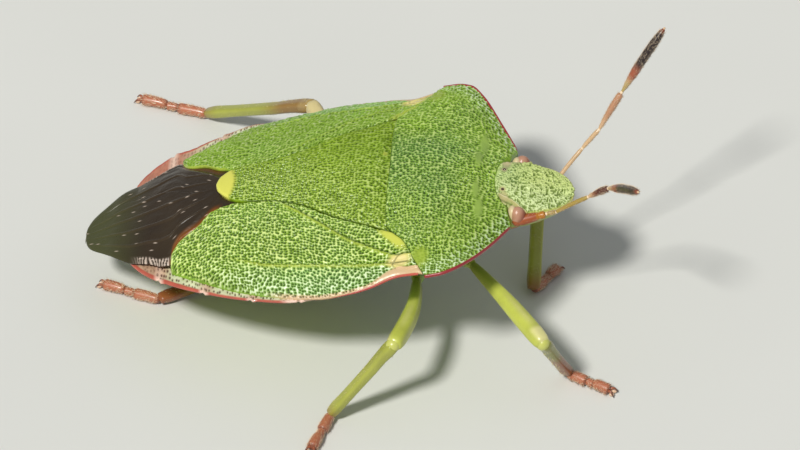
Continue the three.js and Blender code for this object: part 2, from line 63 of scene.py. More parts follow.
HEAD_TIP = 3.37
HEAD_BASE = 1.42
PRONOTUM_CORNER = (1.86, 1.52, -0.55)
SHOULDER = (-0.15, 3.86, 0.0)
PRONOTUM_HIND = (-1.22, 0.64)
SCUTELLUM_TIP = -5.8
WING_TIP = -9.56
ABDOMEN_END = -8.78
CORIUM_APEX = -7.04
EYE_CENTRE = (2.06, 1.2, -0.5)
EYE_SEAT = (2.02, 1.04, -0.64)
EYE_RADII = (0.21, 0.2, 0.27)
SIMPLE_EYE = (1.64, 0.4)
TEMPLE = (1.86, 0.98, -0.62)
BAND_ENDS = (-3.55, -4.85, -6.15, -7.4)

PIT_SPACING = 0.09
PIT_DARK = 0.27
PIT_DEPTH = 0.05
# Strength of the painted shadow along the gaps where plates meet.
SEAM_SHADOW = 0.8
PRONOTUM_LAP = 0.12


# Small maths


def profile(*stations):
    """A smooth curve through [place, value] stations that never overshoots them."""
    places, values = np.array(sorted(stations), float).T
    rises = np.diff(values) / np.diff(places)
    tangents = np.concatenate([rises[:1], np.zeros(len(rises) - 1), rises[-1:]])
    for i in range(1, len(rises)):
        if rises[i - 1] * rises[i] > 0:
            tangents[i] = 2 * rises[i - 1] * rises[i] / (rises[i - 1] + rises[i])

    def at(place):
        place = np.clip(place, places[0], places[-1])
        i = np.clip(np.searchsorted(places, place) - 1, 0, len(rises) - 1)
        width = places[i + 1] - places[i]
        t = (place - places[i]) / width
        start = (1 + 2 * t) * (1 - t) ** 2 * values[i] + t * (1 - t) ** 2 * width * tangents[i]
        end = t * t * (3 - 2 * t) * values[i + 1] + t * t * (t - 1) * width * tangents[i + 1]
        return start + end

    return at


def mix(a, b, t):
    return a + (b - a) * t


def smoothstep(t):
    t = np.clip(t, 0, 1)
    return t * t * (3 - 2 * t)


def ramp(value, start, width):
    """0 before the start, rising smoothly to 1 over the width, which runs down when negative."""
    return smoothstep((value - start) / width)


def stripe(distance, width):
    """1 on a line, falling to 0 beside it."""
    return np.exp(-((distance / width) ** 2))


def spot(x, y, centre, radii):
    """1 at the centre of an oval spot, falling smoothly to 0 at its edge."""
    reach = np.hypot((x - centre[0]) / radii[0], (y - centre[1]) / radii[1])
    return smoothstep(1.5 - 1.5 * reach)


def chance(i, j, seed):
    """A fixed random number from 0 to 1 for each cell of a lattice."""
    number = np.sin(i * 127.1 + j * 311.7 + seed * 74.7) * 43758.5453
    return number - np.floor(number)


def ripple(x, y, seed):
    """Smooth random waves from 0 to 1, one to each unit of x and y."""
    i, j = np.floor(x), np.floor(y)
    u, v = smoothstep(x - i), smoothstep(y - j)
    near = mix(chance(i, j, seed), chance(i + 1, j, seed), u)
    far = mix(chance(i, j + 1, seed), chance(i + 1, j + 1, seed), u)
    return mix(near, far, v)


def wavy(x, y, width, length, seed):
    """Random waves from -0.5 to 0.5, of the width and length given."""
    return ripple(x / width, y / length, seed) - 0.5


def scattered(x, y, seed, jitter=0.8):
    """Distance to the nearest of many points, one to each unit cell, and that point's own number."""
    nearest = np.full(np.shape(x), 9.0)
    number = np.zeros(np.shape(x))
    for i in (-1, 0, 1):
        for j in (-1, 0, 1):
            cell_x, cell_y = np.floor(x) + i, np.floor(y) + j
            at_x = cell_x + 0.5 + jitter * (chance(cell_x, cell_y, seed) - 0.5)
            at_y = cell_y + 0.5 + jitter * (chance(cell_x, cell_y, seed + 1) - 0.5)
            distance = np.hypot(x - at_x, y - at_y)
            number = np.where(distance < nearest, chance(cell_x, cell_y, seed + 2), number)
            nearest = np.minimum(nearest, distance)
    return nearest, number


def unit(vectors):
    vectors = np.asarray(vectors, float)
    return vectors / np.maximum(np.linalg.norm(vectors, axis=-1, keepdims=True), 1e-12)


# The body's frame


def tip_up(points):
    """From the body's frame to the upright one."""
    points = np.asarray(points, float)
    x, y, z = points[..., 0], points[..., 1], points[..., 2]
    cos, sin = math.cos(NOSE_UP), math.sin(NOSE_UP)
    return np.stack([x * cos - z * sin, y, x * sin + z * cos + RIDE_HEIGHT], -1)


def on_side(place, side):
    """A place of the left side, or its mirror image on the right, in the upright frame."""
    return tip_up((place[0], side * place[1], place[2]))


# The middle of the solid eye says where the upright frame lies in the part's frame.
eye_low, eye_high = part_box("eye_left")
CENTRING = np.array((eye_low + eye_high) / 2) / MM - tip_up(EYE_CENTRE)

# Outline and heights along the body

half_width = profile(
    [-0.4, 3.68], [-0.9, 3.58], [-1.6, 3.76], [-2.2, 3.86], [-3.3, 3.96], [-4.9, 3.68], [-6.2, 3.1],
    [-7.46, 2.36], [-8.2, 1.8], [-8.55, 1.3], [-8.72, 0.75], [ABDOMEN_END, 0.3],
)
margin_height = profile(
    [SHOULDER[0], SHOULDER[2]], [-1, -0.12], [-2, -0.28], [-3.3, -0.38], [-6.2, -0.43], [-8.2, -0.5],
    [WING_TIP, -0.77],
)
back_height = profile(
    [-1.3, 0.58], [-3, 0.62], [-4.5, 0.58], [SCUTELLUM_TIP, 0.47], [-6.2, 0.38], [-7, 0.15], [-8.2, -0.25],
    [-9, -0.58], [WING_TIP, -0.74],
)
belly_height = profile(
    [HEAD_BASE, -1.6], [0.5, -2.15], [-1, -2.5], [-2.5, -2.55], [-4.9, -2.3], [-6.5, -1.98], [-7.8, -1.62],
    [-8.5, -1.38], [ABDOMEN_END, -1.2],
)
pronotum_width = profile(
    [PRONOTUM_CORNER[0], PRONOTUM_CORNER[1]], [1.4, 2.48], [0.93, 3.34], [0.6, 3.71], [0.2, 3.85],
    [SHOULDER[0], SHOULDER[1]],
)
pronotum_margin = profile(
    [PRONOTUM_CORNER[0], PRONOTUM_CORNER[2]], [1.4, -0.34], [0.93, -0.07], [0.6, 0.04],
    [SHOULDER[0], SHOULDER[2]],
)
scutellum_width = profile(
    [-0.9, 2.4], [-1.87, 1.98], [-2.62, 1.66], [-3.6, 1.08], [-4.4, 0.83], [-5.1, 0.72], [-5.4, 0.6],
    [-5.62, 0.42], [-5.74, 0.24], [SCUTELLUM_TIP, 0.05],
)
corium_inner = profile(
    [-0.3, 2.5], [-0.9, 2.42], [-1.87, 2.0], [-2.62, 1.68], [-3.6, 1.1], [-4.4, 0.85], [-5.15, 0.74],
    [-5.4, 0.72], [-5.83, 0.84], [-6.28, 1.22], [-6.77, 1.5], [-6.98, 1.8], [CORIUM_APEX, 2.12],
)
corium_outer = profile(
    [-0.2, 3.7], [-0.9, 3.6], [-1.6, 3.78], [-2.2, 3.88], [-2.9, 3.92], [-3.5, 3.83], [-4.6, 3.5],
    [-5.15, 3.28], [-5.63, 3.04], [-6.3, 2.64], [-6.8, 2.34], [CORIUM_APEX, 2.18],
)
membrane_width = profile(
    [-5.2, 0.62], [-5.83, 0.95], [-6.28, 1.33], [-6.77, 1.62], [-7.1, 2.08], [-7.3, 2.04], [-7.61, 1.86],
    [-8.15, 1.62], [-8.53, 1.4], [-9, 1.0], [-9.37, 0.66], [-9.47, 0.5], [-9.53, 0.32], [WING_TIP, 0.03],
)
rim_outline = profile(
    [-2.2, 3.78], [-3.58, 3.85], [-4.87, 3.57], [-6.38, 2.95], [-7.35, 2.38], [-7.77, 2.04], [-8.18, 1.54],
    [-8.3, 1.3],
)
body_width = profile(
    [1.8, 1.25], [1.4, 2.3], [0.93, 3.22], [0.6, 3.63], [0.2, 3.77], [-0.15, 3.74], [-0.4, 3.6], [-0.9, 3.5],
    [-1.6, 3.64], [-2.2, 3.7], [-3.3, 3.76], [-4.9, 3.46], [-6.2, 2.92], [-7.35, 2.24], [-7.77, 1.9],
    [-8.18, 1.42], [-8.5, 1.0], [-8.68, 0.6], [ABDOMEN_END, 0.2],
)


def back_surface(x, y):
    """Height of the folded wings and the scutellum at a point of the plan."""
    t = np.clip(np.abs(y) / half_width(np.maximum(x, -8.2)), 0, 1)
    return mix(back_height(x), margin_height(x), t ** 2.4)


pronotum_front_edge = profile(
    [0, HEAD_BASE], [0.5, 1.47], [0.85, 1.62], [1.0, 1.74], [1.3, 1.81],
    [PRONOTUM_CORNER[1], PRONOTUM_CORNER[0]],
)
hind_edge_profile = profile(
    [0, PRONOTUM_HIND[0]], [1.5, -1.24], [2.16, -1.2], [2.45, -1.0], [2.65, -0.8], [2.95, -0.62],
    [3.3, -0.47], [SHOULDER[1], SHOULDER[0]],
)


def pronotum_hind_edge(y):
    return hind_edge_profile(np.abs(y))


# Mesh building


class Shape:
    """Points in the upright frame with faces and values at the points, gathered into one mesh."""

    def __init__(self):
        self.points = []
        self.faces = []
        self.values = {}
        self.count = 0

    def add(self, points, faces, **values):
        """Adds one closed surface, turned so that its faces point out."""
        points = np.asarray(points, float).reshape(-1, 3)
        faces = [np.asarray(group) for group in faces]
        middle = points.mean(0)
        volume = 0.0
        for group in faces:
            corner = points[group] - middle
            for k in range(1, group.shape[1] - 1):
                volume += np.einsum("ij,ij", corner[:, 0], np.cross(corner[:, k], corner[:, k + 1]))
        if volume < 0:
            faces = [group[:, ::-1] for group in faces]
        self.faces += [group + self.count for group in faces]
        self.points.append(points)
        for name in set(self.values) | set(values):
            kept = self.values.setdefault(name, np.zeros(self.count))
            value = np.broadcast_to(np.asarray(values.get(name, 0.0), float).ravel(), (len(points),))
            self.values[name] = np.concatenate([kept, value])
        self.count += len(points)


def make_piece(name, shape, material, slot, *nodes):
    """One object from a Shape, which stands for the CAD nodes named and takes the material given. The slot
    is not used.
    """
    points = (np.concatenate(shape.points) + CENTRING) * MM
    corners = np.concatenate([group.ravel() for group in shape.faces])
    sizes = np.concatenate([np.full(len(group), group.shape[1]) for group in shape.faces])
    mesh = bpy.data.meshes.new(name)
    mesh.vertices.add(len(points))
    mesh.vertices.foreach_set("co", points.astype(np.float32).ravel())
    mesh.loops.add(len(corners))
    mesh.loops.foreach_set("vertex_index", corners.astype(np.int32))
    mesh.polygons.add(len(sizes))
    mesh.polygons.foreach_set("loop_start", (np.cumsum(sizes) - sizes).astype(np.int32))
    mesh.update(calc_edges=True)
    mesh.validate()
    mesh.shade_smooth()
    for value_name, values in shape.values.items():
        layer = mesh.attributes.new(value_name, "FLOAT", "POINT")
        layer.data.foreach_set("value", values.astype(np.float32))
    mesh.materials.append(material)
    piece = bpy.data.objects.new(name, mesh)
    bpy.context.scene.collection.objects.link(piece)
    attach(piece, "root")
    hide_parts(*nodes)
    return piece


def grid(rows, columns):
    """u from 0 to 1 down the rows and v from -1 to 1 along the columns."""
    return np.meshgrid(np.linspace(0, 1, rows + 1), np.linspace(-1, 1, columns + 1), indexing="ij")


def grid_faces(index):
    """The quads between the neighbours of a grid of point numbers."""
    return np.stack([index[:-1, :-1], index[1:, :-1], index[1:, 1:], index[:-1, 1:]], -1).reshape(-1, 4)


def grid_normals(points, towards):
    """Unit normals of a grid of points, all on the side of the direction given."""
    across = np.cross(np.gradient(points, axis=0), np.gradient(points, axis=1))
    normals = unit(across)
    side = np.sign(normals @ np.asarray(towards, float))
    return normals * np.where(side == 0, 1, side)[..., None]


def add_plate(shape, points, relief, thickness, **values):
    """A closed plate with a grid of body points as its show side, moved out by the relief. Its rim goes
    down, or up for a negative thickness, and a plain lid from side to side closes it."""
    down = np.array([0, 0, -thickness])
    points = points + grid_normals(points, -down) * np.broadcast_to(relief, points.shape[:2])[..., None]
    rows, columns = points.shape[:2]
    index = np.arange(rows * columns).reshape(rows, columns)
    rim = np.concatenate([index[0, :-1], index[:-1, -1], index[-1, :0:-1], index[:0:-1, 0]])
    hidden = {point: rows * columns + k for k, point in enumerate(rim)}
    flat = points.reshape(-1, 3)
    under = flat[rim] + down
    beyond = np.roll(rim, -1)
    skirt = np.array([[a, b, hidden[b], hidden[a]] for a, b in zip(rim, beyond)])
    left, right = (np.array([hidden[p] for p in index[1:-1, end]]) for end in (0, -1))
    lid = np.stack([left[:-1], right[:-1], right[1:], left[1:]], -1)
    ends = [np.array([[hidden[p] for p in index[end]] + [right[end], left[end]]]) for end in (0, -1)]
    everything = {}
    for name, value in values.items():
        value = np.broadcast_to(np.clip(value, 0, 1), points.shape[:2]).ravel()
        everything[name] = np.concatenate([value, value[rim]])
    faces = orient([grid_faces(index), skirt, lid, *ends])
    shape.add(tip_up(np.concatenate([flat, under])), faces, **everything)


def orient(faces):
    """Turns the faces that close a plate so that they run the same way round as its show side."""
    show, skirt = faces[:2]
    first, second = skirt[0][:2]
    holder = show[(show == first).any(1) & (show == second).any(1)][0]
    place = list(holder).index(first)
    if holder[(place + 1) % 4] == second:
        skirt = skirt[:, ::-1]
    skirt_edges = {edge for face in skirt for edge in zip(face, np.roll(face, -1))}
    turned = [show, skirt]
    for group in faces[2:]:
        same_way = skirt_edges & set(zip(group[0], np.roll(group[0], -1)))
        turned.append(group[:, ::-1] if same_way else group)
    return turned


def ring_faces(rings, sides):
    """The faces of a surface of rings of points, closed by one point before them and one behind."""
    index = np.arange(rings * sides).reshape(rings, sides)
    index = np.concatenate([index, index[:, :1]], 1)
    first, last = np.full(sides, rings * sides), np.full(sides, rings * sides + 1)
    caps = np.concatenate([
        np.stack([index[0, :-1], index[0, 1:], first], 1),
        np.stack([index[-1, 1:], index[-1, :-1], last], 1),
    ])
    return [grid_faces(index), caps]


def frames_along(path):
    """Tangents and two side directions at each point of a path, the first side kept level."""
    tangents = unit(np.gradient(path, axis=0))
    level = np.cross([0.0, 0.0, 1.0], tangents)
    level = np.where(np.linalg.norm(level, axis=1, keepdims=True) < 0.05, [0.0, 1.0, 0.0], level)
    side = unit(level)
    return tangents, side, np.cross(tangents, side)


def add_tube(shape, path, radius, sides, section=None, floor=None, **values):
    """A closed tube along a path in the upright frame. radius has one value, or (side, rise), per point."""
    radius = np.asarray(radius, float)
    radius = np.broadcast_to(radius if radius.ndim == 2 else radius.reshape(-1, 1), (len(path), 2))
    tangents, side, rise = frames_along(path)
    angle = np.linspace(0, 2 * np.pi, sides, endpoint=False)
    along = np.linspace(0, 1, len(path))
    swell = np.ones((len(path), sides)) if section is None else section(along[:, None], angle[None, :])
    ring = (
        path[:, None]
        + side[:, None] * (radius[:, :1] * np.cos(angle) * swell)[..., None]
        + rise[:, None] * (radius[:, 1:] * np.sin(angle) * swell)[..., None]
    )
    bulge = tangents * radius.mean(1, keepdims=True) * 0.4
    dome = [path[0] - bulge[0], path[-1] + bulge[-1]]
    points = np.concatenate([ring.reshape(-1, 3), dome])
    if floor is not None:
        points[:, 2] = np.maximum(points[:, 2], floor)
    full = {}
    for name, value in values.items():
        value = np.asarray(value, float)
        value = np.broadcast_to(value if value.ndim == 2 else value.reshape(-1, 1), (len(path), sides))
        full[name] = np.concatenate([value.ravel(), value[[0, -1], 0]])
    shape.add(points, ring_faces(len(path), sides), **full)


def add_ball(shape, centre, radii, rings, turn=None, bumps=None, **values):
    """An ellipsoid in the upright frame, turned by a 3 by 3 matrix. A value may be a function of its
    directions."""
    sides = rings * 2
    down = np.linspace(0, np.pi, rings + 1)[1:-1]
    round_ = np.linspace(0, 2 * np.pi, sides, endpoint=False)
    sphere = np.stack([
        np.outer(np.sin(down), np.cos(round_)), np.outer(np.sin(down), np.sin(round_)),
        np.outer(np.cos(down), np.ones(sides)),
    ], -1).reshape(-1, 3)
    sphere = np.concatenate([sphere, [[0, 0, 1], [0, 0, -1]]])
    swell = 1 if bumps is None else (1 + bumps(sphere))[:, None]
    points = sphere * np.asarray(radii) * swell
    if turn is not None:
        points = points @ np.asarray(turn).T
    values = {name: value(sphere) if callable(value) else value for name, value in values.items()}
    shape.add(points + np.asarray(centre), ring_faces(len(down), sides), **values)


def add_hairs(shape, roots, directions, length, width, floor=None, **values):
    """Fine tapered hairs, each a closed sliver of four triangles."""
    roots, directions = np.asarray(roots), unit(directions)
    aside = unit(np.cross(directions, [0.31, 0.52, 0.79]))
    other = np.cross(directions, aside)
    length = np.broadcast_to(length, (len(roots),))[:, None]
    sunk = roots - directions * length * 0.1
    corners = [sunk + width * (aside * math.cos(a) + other * math.sin(a)) for a in (0, 2.1, 4.2)]
    points = np.stack([*corners, roots + directions * length], 1).reshape(-1, 3)
    if floor is not None:
        points[:, 2] = np.maximum(points[:, 2], floor)
    start = np.arange(len(roots))[:, None] * 4
    faces = np.concatenate([start + [0, 1, 3], start + [1, 2, 3], start + [2, 0, 3], start + [2, 1, 0]])
    shape.add(points, [faces], **values)


# Materials


def feed(tree, socket, value):
    """Links a socket to another one, or sets it to a number or an (r, g, b)."""
    if isinstance(value, bpy.types.NodeSocket):
        tree.links.new(value, socket)
    else:
        socket.default_value = (*value, 1) if isinstance(value, tuple) else value


# A mix node has sockets for numbers, directions and colours; these are the ones for colours.
MIX_INPUTS = (0, 6, 7)
MIX_OUTPUT = 2


def mix_colour(tree, factor, first, second, way="MIX"):
    """A colour between two colours, each a socket or an (r, g, b)."""
    node = tree.nodes.new("ShaderNodeMix")
    node.data_type = "RGBA"
    node.blend_type = way
    for place, value in zip(MIX_INPUTS, (factor, first, second)):
        feed(tree, node.inputs[place], value)
    return node.outputs[MIX_OUTPUT]


def maths(tree, way, first, second):
    """One maths step on sockets or numbers."""
    node = tree.nodes.new("ShaderNodeMath")
    node.operation = way
    feed(tree, node.inputs[0], first)
    feed(tree, node.inputs[1], second)
    return node.outputs[0]


def noise(tree, scale, detail=3.0, roughness=0.55):
    node = tree.nodes.new("ShaderNodeTexNoise")
    place = tree.nodes.new("ShaderNodeTexCoord")
    inputs = {"Vector": place.outputs["Object"], "Scale": scale, "Detail": detail, "Roughness": roughness}
    for name, value in inputs.items():
        feed(tree, node.inputs[name], value)
    return node.outputs[0]


def new_group(name, inputs, outputs):
    """A shader node group. inputs gives each socket's start value, or None for a colour socket."""
    group = bpy.data.node_groups.new(name, "ShaderNodeTree")
    for socket_name, value in inputs.items():
        kind = "NodeSocketColor" if value is None else "NodeSocketFloat"
        socket = group.interface.new_socket(socket_name, in_out="INPUT", socket_type=kind)
        if value is not None:
            socket.default_value = value
    for socket_name, kind in outputs.items():
        group.interface.new_socket(socket_name, in_out="OUTPUT", socket_type=kind)
    return group, group.nodes.new("NodeGroupInput").outputs, group.nodes.new("NodeGroupOutput").inputs


def mottling_group():
    """Cloudy lighter and darker patches, as in living skin under a clear shell."""
    group, given, made = new_group(
        "Mottling", {"Color": None, "Amount": 0.2, "Scale": 1500}, {"Color": "NodeSocketColor"},
    )
    centred = maths(group, "SUBTRACT", noise(group, given["Scale"]), 0.5)
    swing = maths(group, "MULTIPLY", maths(group, "MULTIPLY", centred, given["Amount"]), 2.0)
    level = maths(group, "ADD", swing, 1.0)
    grey = group.nodes.new("ShaderNodeCombineColor")
    for channel in grey.inputs:
        feed(group, channel, level)
    feed(group, made["Color"], mix_colour(group, 1.0, given["Color"], grey.outputs[0], "MULTIPLY"))
    return group


def pits_group():
    """Dark bottoms in the pits of a shell, and a rougher finish there."""
    group, given, made = new_group(
        "Pits",
        {"Color": None, "Pit Color": None, "Pit": 0.0, "Roughness": 0.35},
        {"Color": "NodeSocketColor", "Roughness": "NodeSocketFloat"},
    )
    feed(group, made["Color"], mix_colour(group, given["Pit"], given["Color"], given["Pit Color"]))
    rougher = maths(group, "MULTIPLY", given["Pit"], 0.3)
    feed(group, made["Roughness"], maths(group, "ADD", given["Roughness"], rougher))
    return group


def skin_group():
    """Very fine unevenness of the surface, as a normal."""
    group, given, made = new_group(
        "Fine skin", {"Scale": 40000, "Strength": 0.3}, {"Normal": "NodeSocketVector"},
    )
    bump = group.nodes.new("ShaderNodeBump")
    bump.inputs["Distance"].default_value = 0.000004
    feed(group, bump.inputs["Height"], noise(group, given["Scale"], 2.0))
    feed(group, bump.inputs["Strength"], given["Strength"])
    feed(group, made["Normal"], bump.outputs["Normal"])
    return group


GROUPS = {"mottling": mottling_group(), "pits": pits_group(), "skin": skin_group()}


def use_group(tree, name, **inputs):
    node = tree.nodes.new("ShaderNodeGroup")
    node.node_tree = GROUPS[name]
    for key, value in inputs.items():
        feed(tree, node.inputs[key.replace("_", " ")], value)
    return node.outputs


def mask(tree, name):
    """A value that the mesh carries at its points."""
    node = tree.nodes.new("ShaderNodeAttribute")
    node.attribute_name = name
    return node.outputs["Fac"]


def tinted(tree, colour, tints):
    """A colour under coats of others, each as thick as the mesh's value of that name says."""
    for value_name, tint in tints:
        colour = mix_colour(tree, mask(tree, value_name), colour, tint)
    return colour


def mottled(tree, colour, amount, scale):
    return use_group(tree, "mottling", Color=colour, Amount=amount, Scale=scale)["Color"]


def uneven(tree, scale, spread, least):
    """A roughness that wanders up from the least one."""
    return maths(tree, "ADD", maths(tree, "MULTIPLY", noise(tree, scale), spread), least)


def new_material(name):
    material = bpy.data.materials.new(name)
    material.use_nodes = True
    return material, material.node_tree, material.node_tree.nodes["Principled BSDF"]


def finish_material(tree, shader, colour, roughness, grain, grain_strength, **others):
    """Sets a shader's colour, roughness and fine skin, then the other sockets named."""
    normal = use_group(tree, "skin", Scale=grain, Strength=grain_strength)["Normal"]
    sockets = {"Base Color": colour, "Roughness": roughness, "Normal": normal}
    for name, value in (sockets | others).items():
        feed(tree, shader.inputs[name.replace("_", " ")], value)


def srgb(red, green, blue):
    """A colour given by its screen values from 0 to 255, as the shader's linear one."""
    def linear(value):
        value /= 255
        return value / 12.92 if value <= 0.04045 else ((value + 0.055) / 1.055) ** 2.4
    return tuple(linear(value) for value in (red, green, blue))


YELLOW_GREEN = srgb(150, 182, 26)
COOL_GREEN = srgb(104, 152, 70)
LIGHT_GREEN = srgb(146, 184, 48)
PALE_YELLOW = srgb(222, 220, 96)
CREAM = srgb(232, 202, 168)
SALMON = srgb(214, 104, 84)
CRIMSON = srgb(146, 38, 48)
PIT_GREEN = srgb(38, 62, 6)
LEG_GREEN = srgb(186, 192, 82)
FOOT_BROWN = srgb(176, 106, 76)
HAIR_CREAM = srgb(240, 216, 184)
# Colours of painted light: a highlight on the crests, a reflection of the sky, and shade in the valleys.
CREST_HIGHLIGHT = srgb(238, 250, 166)
SKY_LIGHT = srgb(222, 240, 226)
VALLEY_SHADE = (0.74, 0.78, 0.68)


def shell_material(name, green, cool, pit_colour, crest_highlight_share=0.6, roughness=0.3):
    """Green shell. The mesh says where it is a crest, a pit, cooler, yellow, cream, salmon or crimson.
    Crests get a painted highlight, the ground between them painted shade, and some crests a painted
    reflection of the sky.
    """
    material, tree, shader = new_material(name)
    colour = mottled(tree, tinted(tree, green, [("cool", cool)]), 0.3, 1400.0)
    # Painted shade between the crests and a painted highlight on them.
    shaded_valleys = mix_colour(tree, 1.0, colour, VALLEY_SHADE, "MULTIPLY")
    lit_crests = mix_colour(tree, crest_highlight_share, colour, CREST_HIGHLIGHT)
    colour = mix_colour(tree, mask(tree, "crest"), shaded_valleys, lit_crests)
    # A painted reflection of the sky on the crests, as strong as the mesh says.
    colour = mix_colour(tree, maths(tree, "MULTIPLY", mask(tree, "frost"), 0.6), colour, SKY_LIGHT)
    tints = [("yellow", PALE_YELLOW), ("cream", CREAM), ("salmon", SALMON), ("crimson", CRIMSON)]
    colour = tinted(tree, colour, tints)
    pit = mask(tree, "pit")
    pitted = use_group(tree, "pits", Color=colour, Pit_Color=pit_colour, Pit=pit, Roughness=roughness)
    gloss = maths(tree, "MULTIPLY", maths(tree, "SUBTRACT", 1.0, pit), 0.4)
    finish_material(
        tree, shader, pitted["Color"], pitted["Roughness"], 45000.0, 0.4,
        Coat_Weight=gloss, Coat_Roughness=0.33, Specular_IOR_Level=0.35,
    )
    return material


def membrane_material():
    """Dark, glossy wing membrane, with a bronze tint towards the tip, paler veins and painted cream
    highlights on its puckers and specks.
    """
    material, tree, shader = new_material("wing_membrane")
    dark = mix_colour(tree, noise(tree, 900.0), srgb(36, 26, 18), srgb(62, 50, 34))
    colour = tinted(tree, dark, [
        ("bronze", srgb(74, 78, 44)), ("vein", srgb(90, 72, 48)), ("rust", srgb(134, 76, 20)),
        ("cream", srgb(226, 206, 190)),
    ])
    finish_material(
        tree, shader, colour, uneven(tree, 6000.0, 0.25, 0.2), 14000.0, 0.8,
        Coat_Weight=0.12, Coat_Roughness=0.1, Specular_IOR_Level=0.35,
    )
    return material


def rim_material():
    """Salmon red rim of the abdomen, with pale ends to its bands and dark pits inside."""
    material, tree, shader = new_material("banded_rim")
    colour = tinted(tree, srgb(182, 88, 70), [("inside", srgb(214, 216, 178))])
    colour = tinted(tree, mottled(tree, colour, 0.35, 2500.0), [("cream", srgb(240, 210, 190))])
    pitted = use_group(
        tree, "pits", Color=colour, Pit_Color=srgb(80, 34, 30), Pit=mask(tree, "pit"), Roughness=0.34,
    )
    finish_material(tree, shader, pitted["Color"], pitted["Roughness"], 45000.0, 0.4, Coat_Weight=0.3)
    return material


def skin_material(name, colour, roughness, tints, coat=0.3):
    """Smooth horny skin. tints lists (value on the mesh, colour) from the first coat to the last."""
    material, tree, shader = new_material(name)
    finish_material(
        tree, shader, tinted(tree, mottled(tree, colour, 0.25, 2000.0), tints),
        uneven(tree, 9000.0, 0.16, roughness - 0.08), 30000.0, 0.35, Coat_Weight=coat, Coat_Roughness=0.18,
    )
    return material


# Reliefs of the shell


def pits(across, along, spacing, seed, jitter=0.62):
    """Close-set pits: the bowl from 0, its brink, to 1, its bottom, the dark spot in it and the crests."""
    warp = 1.6 * wavy(across, along, 0.5, 0.5, seed + 5) * spacing
    distance, number = scattered((across + warp) / spacing, (along - warp) / spacing, seed, jitter)
    reach = distance / mix(0.82, 1.12, number)
    bowl = (1 - smoothstep(reach / 0.62)) * mix(0.7, 1.1, number)
    return bowl, 1 - ramp(reach - PIT_DARK, -0.12, 0.24), ramp(reach, 0.4, 0.36)


def worms(across, along, size, seed):
    """A maze of winding crests from 0, the valleys, to 1."""
    bend = 0.7 * wavy(across / size, along / size, 1.7, 1.7, seed + 3)
    first = 1 - np.abs(2 * ripple(across / size + bend, along / size - bend, seed) - 1)
    second = 1 - np.abs(2 * ripple(across / size / 0.6 + bend, along / size / 0.6, seed + 1) - 1)
    return ramp(0.7 * first + 0.3 * second, 0.35, 0.5)


def across_lengths(points):
    """Arc lengths along each row of a grid of points, from its middle."""
    steps = np.linalg.norm(np.diff(points, axis=1), axis=2)
    across = np.concatenate([np.zeros((len(points), 1)), np.cumsum(steps, 1)], 1)
    across -= across[:, points.shape[1] // 2][:, None]
    return across


# Pronotum


def pronotum_top(u, v):
    reach = np.abs(v)
    side_x = mix(PRONOTUM_CORNER[0], SHOULDER[0], u)
    front = pronotum_front_edge(reach * PRONOTUM_CORNER[1])
    hind = pronotum_hind_edge(v * SHOULDER[1])
    middle = mix(-0.14, PRONOTUM_HIND[1], 1 - (1 - u) ** 1.8)
    height = mix(middle, pronotum_margin(side_x), reach ** 2.3)
    return np.stack([mix(front, hind, u), v * pronotum_width(side_x), height], -1)


def make_pronotum(material):
    u, v = grid(160, 440)
    points = pronotum_top(u, v)
    x, y = points[..., 0], points[..., 1]
    reach = np.abs(y)
    across = across_lengths(points)
    callus = np.maximum(spot(x, reach, (1.0, 0.62), (0.13, 0.5)), spot(x, reach, (1.1, 1.3), (0.17, 0.6)))
    corner = spot(x, reach, (-0.28, 3.3), (0.34, 0.44))
    inner = ramp(np.abs(v), 1, -0.008) * smoothstep(u / 0.005) * ramp(u, 1, -0.005)
    open_ = (1 - callus) * (1 - 0.85 * corner) * inner
    bowl, dark, crest = pits(across, x, PIT_SPACING, 3)
    waves = wavy(across, x, 0.6, 0.45, 11)
    wrinkles = wavy(across, x, 0.28, 0.07, 12)
    steep = ramp(reach, 1.6, 1.6)
    relief = 0.03 * waves + 0.02 * wrinkles * (0.4 + steep) - PIT_DEPTH * (1 + 0.3 * steep) * bowl * open_
    relief += 0.012 * callus - 0.02 * stripe(x - 1.22, 0.08) * ramp(reach, 1.5, -0.5)
    relief -= 0.05 * ramp(u, 0.985, 0.015)
    relief *= ramp(np.abs(v), 1, -0.01)
    # The middle is tinted cooler and darker as a painted reflection of the sky, with random cooler patches
    # over the whole plate.
    cool = ramp(reach, 1.9, -1.6) * ramp(x, 0.9, -0.8) * ramp(x, -1.5, 0.4)
    cool = np.clip(cool * 0.55 + 0.5 * (ripple(across / 0.9, x / 0.7, 15) - 0.4), 0, 1)
    shape = Shape()
    # Painted reflection of the sky on the crests near the side margins.
    frost = crest * open_ * ramp((1 - np.abs(v)) * pronotum_width(x), 0.65, -0.5)
    add_plate(
        shape, points, relief, thickness=0.09,
        # the dark line along the hind edge is a painted shadow gap
        pit=dark * open_ + 0.06 * callus + SEAM_SHADOW * stripe(1 - u, 0.006),
        crest=crest * open_ + 0.3 * callus, cool=cool * (1 - corner), frost=frost, yellow=0.2 * corner,
    )
    for side in SIDES:
        stations = np.linspace(0, 1, 70)
        edge = pronotum_top(stations, np.full(70, side)) - [0, 0, 0.035]
        thick = np.outer(smoothstep(stations / 0.06 + 0.3), (0.036, 0.05))
        add_tube(shape, tip_up(edge), thick, sides=12, crimson=0.95, salmon=1.0)
    return make_piece("pronotum", shape, material, "shell", "prothorax")


# Scutellum


def behind_pronotum(v, inner, outer):
    """Where a plate starts under the pronotum's hind edge, at the part v between two outlines."""
    x = np.full(np.shape(v), -1.3)
    for _ in range(12):
        x = pronotum_hind_edge(mix(inner(x), outer(x), v)) + PRONOTUM_LAP
    return x


